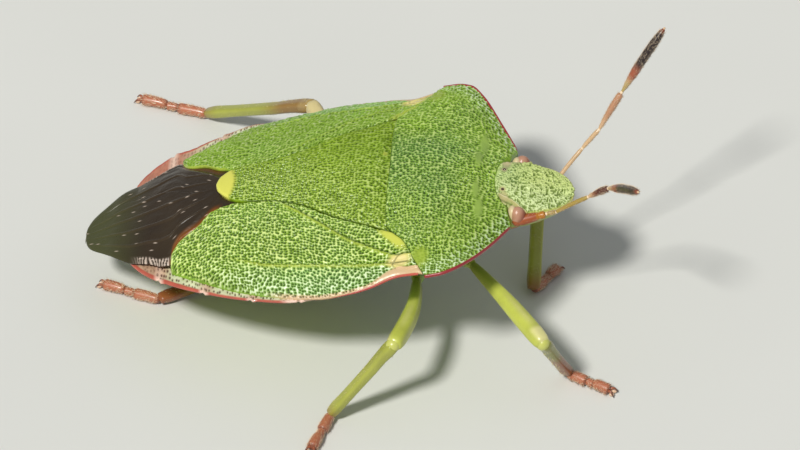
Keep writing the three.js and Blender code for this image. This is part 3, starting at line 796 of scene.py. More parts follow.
def make_scutellum(material):
    u, v = grid(230, 210)
    front = behind_pronotum(np.abs(v), lambda x: 0 * x, scutellum_width)
    x = mix(front, SCUTELLUM_TIP, 1 - (1 - u) ** 1.25)
    y = v * scutellum_width(x)
    edge = (1 - np.abs(v)) * scutellum_width(x)
    dip = mix(0.1, 0.02, ramp(np.abs(y), 1.2, 0.9))
    rise = 0.035 - 0.06 * np.exp(-edge / 0.022) - dip * ramp(x, -1.5, 0.3) + 0.08 * ramp(x, -4.4, -1.2)
    points = np.stack([x, y, back_surface(x, y) + rise], -1)
    across = across_lengths(points)
    cap = smoothstep((-5.24 - x - 0.14 * (np.abs(y) / 0.6) ** 2) / 0.16)
    corner = spot(x, y, (-1.38, 0.62), (0.09, 0.11))
    bowl, dark, crest = pits(across, x, PIT_SPACING, 21)
    open_ = (1 - cap) * (1 - 0.8 * corner) * smoothstep(edge / 0.02)
    # A painted shadow along the scutellum's edges at the front, where the wings meet it.
    seam = stripe(edge, 0.016) * ramp(x, -5.2, 0.4)
    waves = wavy(across, x, 0.5, 0.5, 24)
    wrinkles = wavy(across, x, 0.5, 0.075, 25)
    keel = 0.05 * stripe(x + 1.55, 0.3) * np.cos(np.clip(np.abs(y) / 2, 0, 1) * np.pi / 2)
    dome = cap * (1 - (y / 0.6) ** 2).clip(0, 1)
    relief = 0.02 * waves + 0.02 * wrinkles - PIT_DEPTH * bowl * open_ - keel + 0.03 * dome
    relief *= ramp(np.abs(v), 1, -0.01)
    # Painted highlight on the crests, fading to half towards the far side.
    lit = mix(1, 0.5, ramp(y, -0.5, 1.5))
    shape = Shape()
    add_plate(
        shape, points, relief, thickness=0.13,
        pit=dark * open_ + SEAM_SHADOW * seam, crest=crest * open_ * lit,
        cool=0.35 * (ripple(across / 0.8, x / 0.8, 27) - 0.2), yellow=cap + 0.45 * corner,
    )
    return make_piece("scutellum_plate", shape, material, "shell", "scutellum")


# Forewings

claval_suture = profile([-0.9, 3.05], [-2.18, 2.42], [-2.94, 1.83], [-3.57, 1.32], [-3.96, 1.0])
radial_vein = profile([-0.6, 3.5], [-1.2, 3.3], [-2.2, 3.22], [-4.2, 2.95], [-5.6, 2.4])


def make_forewing(name, side, material, node):
    """The leathery wing. The far one is wider behind, its marks are fainter, and its crests get a weaker
    painted highlight.
    """
    clear, lit, wider = (1.0, 1.0, 0.0) if side < 0 else (0.45, 0.55, 0.22)
    u, v = grid(330, 170)
    t = (v + 1) / 2
    x = mix(behind_pronotum(t, corium_inner, corium_outer), CORIUM_APEX, u)
    inner, outer = corium_inner(x), corium_outer(x) + wider * ramp(x, -4.2, -1.2)
    reach = mix(inner, outer, t)
    inner_edge, outer_edge = t * (outer - inner), (1 - t) * (outer - inner)
    from_pronotum = x - pronotum_hind_edge(reach)
    from_suture, from_vein = reach - claval_suture(x), reach - radial_vein(x)
    rise = 0.03 - 0.06 * np.exp(-inner_edge / 0.02) - 0.035 * np.exp(-outer_edge / 0.03)
    rise = rise - 0.05 * ramp(from_pronotum, -0.06, 0.16)
    height = back_surface(x, reach)
    drop = (height - margin_height(x)) * np.exp(-outer_edge / 0.08) * ramp(x, -2.9, -0.8)
    points = np.stack([x, side * reach, height + rise - drop], -1)
    across = across_lengths(points)
    clavus = ramp(x, -4.05, 0.2)
    suture = stripe(from_suture, 0.022) * clavus
    bank = stripe(from_suture - 0.09, 0.05) * clavus * clear
    vein = stripe(from_vein, 0.035) * ramp(x, -5.6, 1.2) * clear
    beside = stripe(from_vein + 0.09, 0.04) * ramp(x, -4.6, 1.2)
    base = spot(from_pronotum, reach, (-0.1, 2.55), (0.32, 0.55)) * clear
    root = spot(x, reach, (-0.86, 3.24), (0.44, 0.26))
    seam = stripe(x + 0.9 - 0.12 * np.sin(reach * 9), 0.022) * root
    seam = np.maximum(seam, stripe(reach - 3.27 - 0.1 * (x + 0.9), 0.018) * root)
    hind_rim = ramp(inner_edge, 0.05, -0.03) * ramp(x, -5.5, -0.3)
    # A painted shadow along the inner edge, where the wing meets the scutellum.
    inner_seam_shadow = stripe(inner_edge, 0.016) * ramp(x, -5.4, 0.3)
    smooth = np.clip(bank * 0.85 + vein * 0.8 + base + root + hind_rim, 0, 1)
    near_edge = ramp(reach, 2.4, 1.2)
    bowl, dark, crest = pits(across, x, PIT_SPACING, 31 if side > 0 else 41)
    open_ = (1 - smooth) * smoothstep(inner_edge / 0.02) * smoothstep(outer_edge / 0.02)
    band = mix(0.09, 0.22, ramp(x, -1.8, 0.9))
    edge_pink = smoothstep((band - outer_edge) / 0.07) * ramp(x, -4.6, 0.9)
    open_ *= 1 - edge_pink * ramp(x, -1.9, 0.6)
    wrinkles = wavy(across, x, 0.3, 0.075, 35)
    wrinkles *= mix(0.02, 0.035, near_edge) * (1 - 0.9 * np.clip(root + base + edge_pink, 0, 1))
    relief = 0.03 * wavy(across, x, 0.55, 0.6, 34) + wrinkles
    relief -= mix(PIT_DEPTH, 0.06, near_edge) * bowl * open_
    relief += 0.03 * bank + 0.03 * base + 0.034 * vein - 0.045 * suture - 0.016 * beside - 0.03 * seam
    relief *= smoothstep(inner_edge / 0.012) * smoothstep(outer_edge / 0.012)
    cool = 0.55 * smoothstep(from_vein / 0.1) * ramp(x, -5.5, 1.5)
    shape = Shape()
    add_plate(
        shape, points, relief, thickness=0.06, crest=crest * open_ * lit,
        pit=dark * open_ + clear * (0.7 * suture + 0.75 * seam + SEAM_SHADOW * inner_seam_shadow),
        cool=cool + 0.4 * (ripple(across / 0.8, x / 0.8, 37) - 0.45),
        yellow=0.75 * base + 0.3 * bank + 0.35 * vein + 0.3 * hind_rim + 0.9 * root,
        # painted reflection of the sky on the crests near the outer edge, faint on the far wing
        frost=crest * open_ * ramp(outer_edge, 0.75, -0.6) * ramp(x, -6.4, 1.5) * clear,
        cream=0.5 * root + 0.7 * edge_pink, salmon=0.22 * edge_pink,
    )
    stations = np.linspace(0, 1, 90)
    edge_x = mix(-0.35, -2.7, stations)
    edge_y = corium_outer(edge_x)
    edge = np.stack([edge_x, side * edge_y, back_surface(edge_x, edge_y) - 0.045], -1)
    thick = np.outer(smoothstep((1 - stations) / 0.5 + 0.05), (0.024, 0.034)) + (0.005, 0.006)
    add_tube(
        shape, tip_up(edge), thick, sides=10, salmon=1.0, crimson=mix(0.3, 0.75, stations), cream=0.3,
    )
    return make_piece(name, shape, material, "forewing", node)


# Wing membranes


def fold_line(x):
    """The free edge of the right membrane, which lies over the left one."""
    t = np.clip((-5.9 - x) / 3.66, 0, 1)
    return membrane_width(x) * mix(-0.1, 0.72, t ** 0.8)


def membrane_veins(x, y):
    t = y / np.maximum(membrane_width(x), 0.05)
    spread = mix(1.0, 0.8, np.clip((-6 - x) / 3.5, 0, 1))
    wave = np.cos(2 * np.pi * 3.5 * t * spread + 0.35 * np.sin(x * 2.2))
    fade = ramp(x, -5.9, -0.7) * smoothstep((x - WING_TIP) / 0.7)
    return fade * ramp(wave, 0.72, 0.28) * ramp(np.abs(t), 0.97, -0.1)


def make_membrane(name, side, material, node):
    """side -1 is the right membrane, on top, and 1 the left one under it."""
    u, v = grid(190, 150)
    t = (v + 1) / 2
    x = mix(-5.25, WING_TIP, 1 - (1 - u) ** 1.3)
    if side < 0:
        inner, outer, lift = fold_line(x), -membrane_width(x), 0.022
    else:
        inner, outer, lift = fold_line(x) - 0.35, membrane_width(x), -0.004
        inner = np.minimum(inner, outer - 0.02)
    y = mix(inner, outer, t)
    edge = np.abs(y - outer)
    y = y + 0.05 * ramp(x, -8.0, -1.0)
    tuck = -0.07 * smoothstep((x - mix(-5.7, -7.2, smoothstep(np.abs(y) / 2.0))) / 0.25)
    droop = -0.03 * np.exp(-edge / 0.06) + 0.06 * ramp(x, -8.2, -0.6)
    points = np.stack([x, y, back_surface(x, y) + lift + tuck + droop], -1)
    across = across_lengths(points)
    vein = membrane_veins(x, y)
    zone = ramp(edge, 0.21, -0.08) * ramp(x, -6.95, -0.15) * ramp(x, -8.25, 0.5)
    pucker = np.sin(2 * np.pi * (x + 0.25 * edge) / 0.09 + 9 * ripple(x / 0.3, edge / 0.2, 51)) * zone
    pucker = pucker * mix(0.3, 1.3, ripple(x / 0.12, edge / 0.07, 58))
    crinkle = wavy(across, x, 0.16, 0.3, 52)
    fine = wavy(across, x, 0.045, 0.06, 53)
    # Small raised specks, painted cream below as glints.
    speck_distance, speck_number = scattered(across / 0.14, x / 0.5 + across / 0.5, 55, 0.9)
    glint_speck = (1 - smoothstep(speck_distance / 0.16)) * (speck_number > 0.8)
    relief = 0.022 * vein + 0.014 * pucker + 0.012 * crinkle + 0.003 * fine + 0.012 * glint_speck
    relief *= smoothstep(edge / 0.04) * ramp(np.abs(v), 1, -0.02)
    rust = ramp(np.abs(y) - corium_inner(x), -0.26, 0.2) * ramp(x, -7.15, 0.2) * ramp(x, -5.6, -0.3)
    rust *= 0.85 if side < 0 else 0.3
    shape = Shape()
    add_plate(
        shape, points, relief, thickness=0.018,
        vein=0.15 * vein, rust=rust, bronze=0.8 * ramp(x, -7.6, -1.6),
        # the cream on the puckers and specks is a painted highlight
        cream=0.75 * zone * smoothstep(pucker * 1.4 + 0.35) + 0.8 * glint_speck,
    )
    return make_piece(name, shape, material, "membrane", node)


# Banded rims of the abdomen


def make_rim(name, side, material, node):
    """The banded edge of the abdomen. The far one is wider behind and redder."""
    u, v = grid(420, 26)
    x = mix(-2.5, -8.3, u)
    gaps = np.array(BAND_ENDS)[:, None, None]

    def by_gaps(ahead, width, top=1):
        """The top value at the places this far ahead of the gaps, falling to 0 beside them."""
        return np.max(np.clip(top - np.abs(x - gaps - ahead) / width, 0, 1), 0)

    outer = rim_outline(x) - 0.05 * by_gaps(0, 0.06) + 0.04 * by_gaps(0.08, 0.12)
    if side > 0:
        outer = outer + (0.28 * ramp(x, -4.4, -1.2) + 0.14 * ramp(x, -6.8, -0.6))
    reach = mix(rim_outline(x) - 0.75, outer, ((v + 1) / 2) ** 0.8)
    edge = outer - reach
    height = margin_height(x) - 0.015 - 0.04 * np.exp(-edge / 0.03)
    points = np.stack([x, side * reach, height], -1)
    across = across_lengths(points)
    inside = smoothstep((edge - mix(0.02, 0.09, ramp(x, -5.6, -1.4))) / 0.06)
    inside *= mix(1, 0.45, ramp(x, -7.3, -0.2))
    if side > 0:
        inside *= mix(1, 0.4, ramp(x, -6.3, -0.8))
    bowl, dark, _ = pits(across * 0.4, x, 0.085, 61)
    relief = -0.03 * bowl * inside + 0.01 * wavy(across, x, 0.1, 0.1, 62)
    relief -= 0.03 * stripe(np.min(np.abs(x - gaps), 0), 0.025)
    relief *= ramp(np.abs(v), 1, -0.06)
    pale = 1.2 * by_gaps(0.02, 0.16) * (1 - 0.6 * inside) + 0.9 * ramp(x, -4.1, 0.4)
    shape = Shape()
    add_plate(
        shape, points, relief, thickness=0.03, inside=inside - 0.5 * (inside * by_gaps(0.1, 0.22, 1.2)),
        pit=0.9 * dark * inside, cream=np.clip(pale, 0, 0.85),
    )
    return make_piece(name, shape, material, "rim", node)


# Underside

SPIRACLES = (-3.95, -5.4, -6.7)
HIPS = {"fore": (0.42, 0.95, -1.98), "middle": (-0.95, 1.0, -2.32), "hind": (-2.2, 0.9, -2.35)}


def make_belly(material):
    u, v = grid(300, 150)
    x = mix(1.8, ABDOMEN_END, u)
    y = v * (body_width(x) - 0.14 * ramp(x, -6.5, 2))
    tail = ramp(x, -2.6, -0.8)
    depth = mix((1 - v * v) ** 1.6, (1 - v * v) ** 1.1, tail)
    margin = np.where(x > SHOULDER[0], pronotum_margin(x), margin_height(x)) - 0.09
    points = np.stack([x, y, mix(margin, belly_height(x), depth)], -1)
    across = across_lengths(points)
    breaks = np.array([-0.1, -1.55, -3.0, *BAND_ENDS, -8.2])[:, None, None]
    bow = 0.25 * (np.abs(y) / 3) ** 2
    line = stripe(np.min(np.abs(x + bow - breaks), 0), 0.035)
    bowl, dark, _ = pits(across, x, 0.17, 71)
    open_ = smoothstep(np.abs(v) / 0.3)
    spiracle = np.max([
        spot(x, np.abs(y), (place, half_width(np.array(place)) * 0.78), (0.07, 0.07)) for place in SPIRACLES
    ], 0)
    relief = 0.02 * wavy(across, x, 0.5, 0.4, 72) - 0.04 * line - 0.015 * bowl * open_ - 0.03 * spiracle
    relief *= ramp(np.abs(v), 1, -0.03)
    shape = Shape()
    shade = 0.4 * dark * open_ + 0.5 * line + 0.8 * spiracle
    add_plate(shape, points, relief, thickness=-0.03, pit=shade, yellow=0.25 * tail)
    for hip in HIPS.values():
        for side in SIDES:
            add_ball(shape, on_side(hip, side), (0.18, 0.18, 0.24), rings=20, pit=0.15)
    return make_piece("underside", shape, material, "belly", "thorax", "abdomen")


# Head

orbit_line = profile([1.5, 0.56], [1.66, 0.66], [1.85, 0.73], [2.07, 0.89], [2.23, 0.99], [2.36, 1.1])
head_width = profile(
    [1.2, 1.0], [1.62, 1.08], [2.0, 1.05], [2.3, 0.99], [2.75, 0.86], [3.1, 0.64], [3.27, 0.42], [3.35, 0.2],
    [HEAD_TIP, 0.05],
)
head_margin = profile([1.2, -0.5], [2.06, -0.57], [2.75, -0.7], [3.1, -0.79], [HEAD_TIP, -0.88])
head_crown = profile(
    [1.2, -0.12], [HEAD_BASE, -0.14], [2.27, -0.43], [2.7, -0.6], [3.1, -0.74], [HEAD_TIP, -0.84],
)
head_underside = profile([1.2, -1.5], [2, -1.5], [2.75, -1.3], [3.2, -1.1], [HEAD_TIP, -0.98])


def make_head(material):
    u, v = grid(240, 210)
    rear = mix(1.2, PRONOTUM_CORNER[0] - 0.1, (v * 0.72) ** 2)
    x = mix(rear, HEAD_TIP, 1 - (1 - u) ** 1.35)
    y = v * head_width(x)
    reach = np.abs(y)
    edge = head_width(x) - reach
    tucked = -0.12 * smoothstep((HEAD_BASE + 0.08 - x + 0.35 * reach ** 2 / 2) / 0.15)
    height = mix(head_crown(x), head_margin(x), np.abs(v) ** 3)
    points = np.stack([x, y, height + tucked - 0.03 * np.exp(-edge / 0.03)], -1)
    across = across_lengths(points)
    lobe = mix(0.3, 0.2, ramp(x, 2.2, 1.1))
    front = ramp(x, 2.0, 0.3)
    groove = stripe(reach - lobe, 0.022) * front
    crown = front * smoothstep((lobe - reach) / 0.1)
    cup = spot(x, reach, SIMPLE_EYE, (0.12, 0.13))
    cup = np.maximum(cup, 0.8 * spot(x, reach, (1.68, 0.62), (0.15, 0.24)))
    beside_eye = ramp(x, 2.36, -0.08) * ramp(x, 1.5, 0.1)
    from_orbit = reach - orbit_line(x)
    temple = ramp(from_orbit, -0.03, 0.06) * beside_eye
    brow = stripe(from_orbit, 0.045) * beside_eye
    under_brow = stripe(from_orbit - 0.085, 0.02) * beside_eye
    open_ = (1 - np.clip(1.2 * cup + 0.6 * temple + 0.7 * brow, 0, 1)) * smoothstep(edge / 0.06)
    maze = worms(across, x, 0.052, 81)
    relief = 0.03 * wavy(across, x, 0.3, 0.3, 82) + 0.045 * (maze - 0.6) * open_
    relief -= 0.035 * groove
    relief += 0.045 * crown
    relief += 0.08 * brow - 0.03 * temple - 0.04 * under_brow
    relief += 0.03 * wavy(across, x, 0.07, 0.07, 83) * np.clip(temple + brow, 0, 1)
    relief *= ramp(np.abs(v), 1, -0.015) * ramp(u, 1, -0.01)
    shape = Shape()
    add_plate(
        shape, points, relief, thickness=0.07, crest=maze * open_,
        # the crease under the brow is darkened as painted shade
        pit=0.6 * (1 - maze) * open_ + 0.3 * groove + 0.8 * under_brow,
        cool=0.9 * ramp(y, -0.5, 0.7) * ramp(x, 2.4, -0.7),
        cream=np.clip(0.5 * cup + 0.22 * temple + 0.3 * brow, 0, 0.55),
        # the crests of the near side get a painted reflection of the sky
        yellow=0.3 * ramp(edge, 0.07, -0.05), frost=0.4 * maze * open_ * ramp(y, 0.2, -0.8),
    )
    for side in SIDES:
        add_ball(shape, on_side(TEMPLE, side), (0.14, 0.2, 0.27), rings=20, cream=0.75)
    under_u, under_v = grid(70, 60)
    under_x = mix(1.25, HEAD_TIP - 0.02, under_u)
    under_y = under_v * (head_width(under_x) - 0.03)
    depth = np.sqrt(np.clip(1 - under_v ** 2, 0, 1))
    under_z = mix(head_margin(under_x) - 0.07, head_underside(under_x), depth)
    buccula = 0.12 * stripe(np.abs(under_y) - 0.17, 0.07) * ramp(under_x, 1.6, 0.4)
    under = np.stack([under_x, under_y, under_z - buccula], -1)
    add_plate(shape, under, 0, thickness=-0.04, yellow=0.15)
    for side in SIDES:
        stations = np.linspace(0, 1, 60)
        rim_x = mix(2.28, HEAD_TIP - 0.01, 1 - (1 - stations) ** 1.6)
        rim = np.stack([rim_x, side * (head_width(rim_x) - 0.012), head_margin(rim_x) - 0.045], -1)
        add_tube(shape, tip_up(rim), 0.024, sides=10, yellow=0.3, cream=0.35)
    return make_piece("head_shell", shape, material, "head", "head")


def make_eye(name, side, material, node):
    """A compound eye: a bulging oval set with rows of fine facets."""
    def facets(sphere):
        turn = np.arctan2(sphere[:, 1], sphere[:, 0])
        tilt = np.arcsin(np.clip(sphere[:, 2], -1, 1))
        distance, _ = scattered(turn * 8.5 * np.cos(tilt), tilt * 8.5, 91, 0.25)
        return 0.02 * (1 - (distance / 0.6) ** 2).clip(0, 1)

    def lower_front(sphere):
        return smoothstep((sphere[:, 0] - sphere[:, 2] + 0.5) / 1.2)

    cos, sin = math.cos(NOSE_UP), math.sin(NOSE_UP)
    turn = np.array([[cos, 0, -sin], [0, 1, 0], [sin, 0, cos]])
    shape = Shape()
    add_ball(shape, on_side(EYE_SEAT, side), EYE_RADII, rings=90, turn=turn, bumps=facets, rust=lower_front)
    return make_piece(name, shape, material, "eye", node)


def make_simple_eyes(material):
    shape = Shape()
    x, y = SIMPLE_EYE
    z = mix(head_crown(x), head_margin(x), abs(y / head_width(x)) ** 3) - 0.01
    for side in SIDES:
        add_ball(shape, on_side((x, y, z), side), (0.044, 0.044, 0.04), rings=18)
    return make_piece("simple_eyes", shape, material, "eye")


# Feelers

FEELER_JOINTS = {
    "left": [
        (2.1, 1.0, -1.05), (2.9, 0.85, -1.03), (3.6, 1.3, -0.5), (4.1, 1.5, -0.1), (4.82, 1.95, 0.7),
        (6.15, 2.65, 2.1),
    ],
    "right": [
        (1.98, -1.12, -0.74), (2.74, -1.0, -0.7), (3.0, -0.96, -0.7), (3.92, -0.97, -0.3),
        (4.53, -1.15, 0.06), (5.58, -2.78, 1.15),
    ],
}
FEELER_RADII = [
    profile(
        [0, 0.12], [0.12, 0.14], [0.5, 0.125], [0.7, 0.105], [0.78, 0.085], [0.84, 0.1], [0.95, 0.1],
        [1, 0.06],
    ),
    profile([0, 0.042], [0.12, 0.052], [0.85, 0.056], [1, 0.044]),
    profile([0, 0.04], [0.12, 0.05], [0.85, 0.06], [1, 0.044]),
    profile([0, 0.036], [0.15, 0.055], [0.75, 0.09], [0.93, 0.085], [1, 0.036]),
    profile([0, 0.034], [0.12, 0.066], [0.35, 0.114], [0.75, 0.114], [0.93, 0.084], [1, 0.045]),
]


FEELER_HAIRS = ((60, 0.05), (130, 0.05), (150, 0.06), (420, 0.075), (900, 0.075))


def hair_roots(path, radii, count, seed, lean):
    """Places round a limb and the directions in which its hairs lean towards the tip."""
    rng = np.random.default_rng(seed)
    t = rng.uniform(0.03, 0.97, count)
    angle = rng.uniform(0, 2 * np.pi, count)
    tangents, side, rise = frames_along(path)
    place = t * (len(path) - 1)
    low = np.floor(place).astype(int)
    share = (place - low)[:, None]

    def take(values):
        return mix(values[low], values[low + 1], share)

    out = take(side) * np.cos(angle)[:, None] + take(rise) * np.sin(angle)[:, None]
    return take(path) + out * take(radii[:, None]) * 0.95, out + take(tangents) * lean


def feeler_tints(number, near, t):
    """How red, dark, olive and orange a feeler's joint is along its length."""
    if number == 0:
        return {"orange": 1.0, "red": 0.8 * ramp(t, 0.72, -0.1)}
    if number in (1, 2):
        return {"olive": 0.65, "orange": 0.6} if near else {"olive": 0.1}
    if number == 3:
        red = (0.95 if near else 0.5) * ramp(t, 0.05, 0.4)
        return {"red": red, "dark": 0.75 * ramp(t, 0.1, 0.5) if near else 0.0}
    return {
        "red": 0.9 * ramp(t, 0.12, 0.12), "dark": ramp(t, 0.3, 0.15) * ramp(t, 1.05, -0.15),
        "olive": (0.2 if near else 0.6) * ramp(t, 0.25, -0.15),
    }


def make_feeler(side_name, material):
    joints = tip_up(FEELER_JOINTS[side_name])
    stations = np.linspace(0, 1, 60)
    shape = Shape()
    for number, (count, length) in enumerate(FEELER_HAIRS):
        start, end = joints[number], joints[number + 1]
        direction = unit(end - start)
        sag = np.array([0, 0, 0.05 * np.linalg.norm(end - start)])
        path = mix(start + direction * 0.02, end - direction * 0.02, stations[:, None])
        path = path + np.sin(stations * np.pi)[:, None] * sag * (0.4 if number else 0)
        radii = FEELER_RADII[number](stations)
        tints = {"red": 0.0, "dark": 0.0, "olive": 0.0, "orange": 0.0}
        tints |= feeler_tints(number, side_name == "right", stations)
        add_tube(shape, path, radii, sides=20, **tints)
        ring = mix(end - direction * 0.05, end + direction * 0.03, np.linspace(0, 1, 6)[:, None])
        thick, pale = (0.045, 0.9) if number < 4 else (0.03, 0.3)
        add_tube(shape, ring, thick, sides=12, pale=pale)
        roots, ways = hair_roots(path, radii, count, seed=100 + number, lean=1.6)
        add_hairs(shape, roots, ways, length, width=0.0045, pale=1.0)
    add_ball(shape, joints[0], (0.15, 0.13, 0.14), rings=18, orange=1.0, red=0.8)
    nodes = [f"antenna_{side_name}_{number}" for number in (1, 2, 3, 4)]
    return make_piece(f"feeler_{side_name}", shape, material, "feeler", *nodes)


# Beak


def make_beak(material):
    stops = tip_up([
        (2.85, 0, -1.3), (2.3, 0, -1.6), (1.4, 0, -1.78), (0.3, 0, -2.35), (-0.7, 0, -2.6), (-1.6, 0, -2.7),
    ])
    places = np.linspace(0, len(stops) - 1, 90)
    path = np.stack([np.interp(places, range(len(stops)), stops[:, k]) for k in range(3)], 1)
    t = np.linspace(0, 1, 90)
    waist = stripe(t[:, None] - np.array([0.3, 0.55, 0.8]), 0.02).max(1)
    shape = Shape()
    add_tube(shape, path, mix(0.13, 0.07, t) * (1 - 0.3 * waist), sides=20, dark=ramp(t, 0.88, 0.1))
    return make_piece("beak_sheath", shape, material, "foot", "beak")


# Legs

LEG_JOINTS = {
    "fore_right": ((2.45, -3.83, -2.65), (2.66, -2.55, -4.77), (3.83, -3.11)),
    "fore_left": ((1.9, 3.5, -2.95), (1.61, 0.71, -4.53), (2.19, 1.75)),
    "middle_right": ((-1.18, -4.67, -1.5), (-3.21, -4.83, -3.47), (-3.64, -6.22)),
    "middle_left": ((-1.18, 4.67, -1.5), (-3.21, 4.83, -3.47), (-3.64, 6.22)),
    "hind_right": ((-4.5, 1.3, -2.95), (-7.88, -0.69, -2.45), (-9.49, -0.13)),
    "hind_left": ((-3.95, 4.95, -1.05), (-7.25, 7.06, -2.58), (-9.16, 7.59)),
}
femur_radius = profile(
    [0, 0.1], [0.1, 0.14], [0.35, 0.185], [0.7, 0.235], [0.88, 0.24], [0.97, 0.22], [1, 0.18],
)
SHIN_BROWN_FROM = {"fore_right": 0.3, "hind_right": 0.6, "fore_left": 0.78}
tibia_radius = profile([0, 0.19], [0.06, 0.2], [0.2, 0.18], [0.75, 0.165], [0.92, 0.175], [1, 0.145])


def facetted(corners, depth, turn=0.3):
    """A section with soft corners, as on the long flats and edges of a shield bug's leg."""
    def section(along, angle):
        wave = np.cos(corners * (angle + turn + 0.2 * along))
        return 1 + depth * np.sign(wave) * np.abs(wave) ** 0.8
    return section


def make_leg(name, material, foot_material):
    knee_at, ankle_at, toe_at = LEG_JOINTS[name]
    pair, side_name = name.split("_")
    middle = pair == "middle"
    hip = on_side(HIPS[pair], 1 if side_name == "left" else -1)
    knee, ankle = tip_up(knee_at), tip_up(ankle_at)
    toe = tip_up((toe_at[0], toe_at[1], -SOLE_DEPTH - NOSE_SLOPE * toe_at[0]))
    outward = unit(knee - hip)
    hip = hip + outward * 0.2
    ankle[2] = max(ankle[2], 0.2)
    stations = np.linspace(0, 1, 80)
    bow = np.sin(stations * np.pi)[:, None]
    round_ = np.linspace(0, 2 * np.pi, 28, endpoint=False)
    shape = Shape()
    # The hip ball is darkened towards olive as painted shade, as it sits under the body.
    add_ball(shape, hip, (0.13, 0.13, 0.13), rings=16, yellow=0.2, dusk=0.6)
    thigh = mix(hip, knee + outward * 0.04, stations[:, None])
    thigh = thigh + bow * np.array([0.17 if middle else 0.0, 0, 0.06])
    far_knee = 0.75 if name == "hind_left" else 0.0
    # The knee's pale cap is drawn on its lit side only: a pale knee with a painted highlight on it. The pale
    # streak along the femur is a painted highlight.
    lit_side = smoothstep(1.4 * np.cos(round_ - (3.6 if middle else 1.0)) + 0.1)
    knee_cap = ramp(stations, 0.91 if middle else 0.85, 0.05)[:, None] * lit_side
    highlight_streak = (ramp(stations, 0.35, 0.3) * ramp(stations, 0.9, -0.15))[:, None]
    highlight_streak = highlight_streak * stripe(round_ - 0.5 * np.pi, 0.35)
    add_tube(
        shape, thigh, femur_radius(stations), sides=28, section=facetted(5, 0.035),
        # the femur darkens towards the hip as painted shade under the body
        pale=0.6 * knee_cap + 0.3 * highlight_streak, dusk=0.7 * ramp(stations, 0.42, -0.35),
        brown=far_knee * ramp(stations, 0.7, 0.2),
    )
    shin_way = unit(ankle - knee)
    shin = mix(knee + shin_way * 0.05, ankle, stations[:, None])
    shin = shin + np.sin(np.clip(stations * 3, 0, 1) * np.pi)[:, None] * np.array([0, 0, 0.03])
    brown = ramp(stations, SHIN_BROWN_FROM.get(name, 0.84), 0.3)
    add_tube(
        shape, shin, np.outer(tibia_radius(stations), (1.12, 0.86)), sides=28,
        section=facetted(4, 0.07, 0.8),
        brown=np.maximum(brown, far_knee * ramp(stations, 0.5, -0.3)),
        # the near fore tibia is darkened as painted shade; the others get a darker olive tone
        dusk=0.95 if name == "fore_right" else 0.45,
        # the pale patch at the knee end, on the lit side, is partly a painted highlight
        pale=0.6 * ramp(stations, 0.09, -0.03)[:, None] * lit_side * (1 - far_knee),
    )
    add_ball(shape, knee + shin_way * 0.05, (0.19, 0.19, 0.19), rings=14, pale=0.15, brown=far_knee)
    for path, radius, count, seed in ((thigh, femur_radius, 110, 7), (shin, tibia_radius, 260, 8)):
        roots, ways = hair_roots(path, radius(stations), count, seed + len(name), lean=1.3)
        add_hairs(shape, roots, ways, length=0.07, width=0.005, floor=0.01, pale=0.8)
    make_piece(f"leg_{name}", shape, material, "leg", f"femur_{name}", f"tibia_{name}")
    make_foot(name, ankle, toe, foot_material)


def make_foot(name, ankle, toe, material):
    """Three segments on the floor, two pads and two claws, with a brush of pale hairs below."""
    shape = Shape()
    heading = unit((toe - ankle) * [1, 1, 0])
    aside = np.array([-heading[1], heading[0], 0])
    length = np.linalg.norm((toe - ankle)[:2])
    start = np.array([ankle[0], ankle[1], 0.15])
    breaks = ((0.0, 0.43, 0.155), (0.42, 0.58, 0.12), (0.57, 0.93, 0.158))
    for k, (first, last, thick) in enumerate(breaks):
        t = np.linspace(0, 1, 34)
        path = start + heading * (length * mix(first, last, t))[:, None]
        path[:, 2] = mix(0.15, 0.12, t) + (0.02 * np.sin(t * np.pi) if k != 1 else 0)
        if k == 0:
            path[:, 2] += max(ankle[2] - 0.2, 0) * (1 - t) ** 2
        ends = np.clip(np.minimum(t / 0.16, (1 - t) / 0.12), 0, 1)
        radius = thick * mix(0.62, 1, np.sqrt(ends)) * mix(0.8, 1, t)
        joint = stripe(np.minimum(t, 1 - t), 0.09)
        add_tube(shape, path, radius, sides=20, floor=0.0, red=0.35 * (k != 0), dark=0.55 * joint)
        count = 260 if k != 1 else 90
        roots, ways = hair_roots(path, radius, count, seed=20 + k + len(name), lean=1.1)
        add_hairs(shape, roots, ways - [0, 0, 0.15], length=0.085, width=0.0065, floor=0.003, pale=1.0)
    end = start + heading * length * 0.93
    for side in SIDES:
        t = np.linspace(0, 1, 22)
        out = (0.05 + 0.11 * t - 0.03 * t ** 2)[:, None]
        claw = end + (heading * 0.19 * t[:, None] + aside * side * out)
        claw[:, 2] = 0.13 + 0.06 * np.sin(t * np.pi * 0.8) - 0.12 * t ** 2
        thick = mix(0.042, 0.008, t ** 1.3)
        add_tube(shape, claw, thick, sides=12, floor=0.0, dark=smoothstep(t), red=0.6)
        pad = end + heading * 0.1 + aside * side * 0.07
        add_ball(shape, (pad[0], pad[1], 0.07), (0.07, 0.045, 0.05), rings=12, pale=0.6)
    make_piece(f"foot_{name}", shape, material, "foot", f"tarsus_{name}")


# Build the bug

pronotum_shell = shell_material("pronotum_shell", LIGHT_GREEN, COOL_GREEN, PIT_GREEN, 0.5)
scutellum_shell = shell_material("scutellum_shell", YELLOW_GREEN, LIGHT_GREEN, srgb(40, 64, 0), 0.48)
wing_shell = shell_material("forewing_shell", LIGHT_GREEN, srgb(148, 196, 112), PIT_GREEN, 0.78)
head_skin = shell_material("head_shell", srgb(168, 190, 96), srgb(124, 164, 96), srgb(80, 100, 36), 0.6, 0.4)
belly_skin = shell_material("belly_skin", srgb(160, 188, 96), COOL_GREEN, srgb(90, 104, 40), 0.0, 0.42)
membrane_skin = membrane_material()
rim_skin = rim_material()
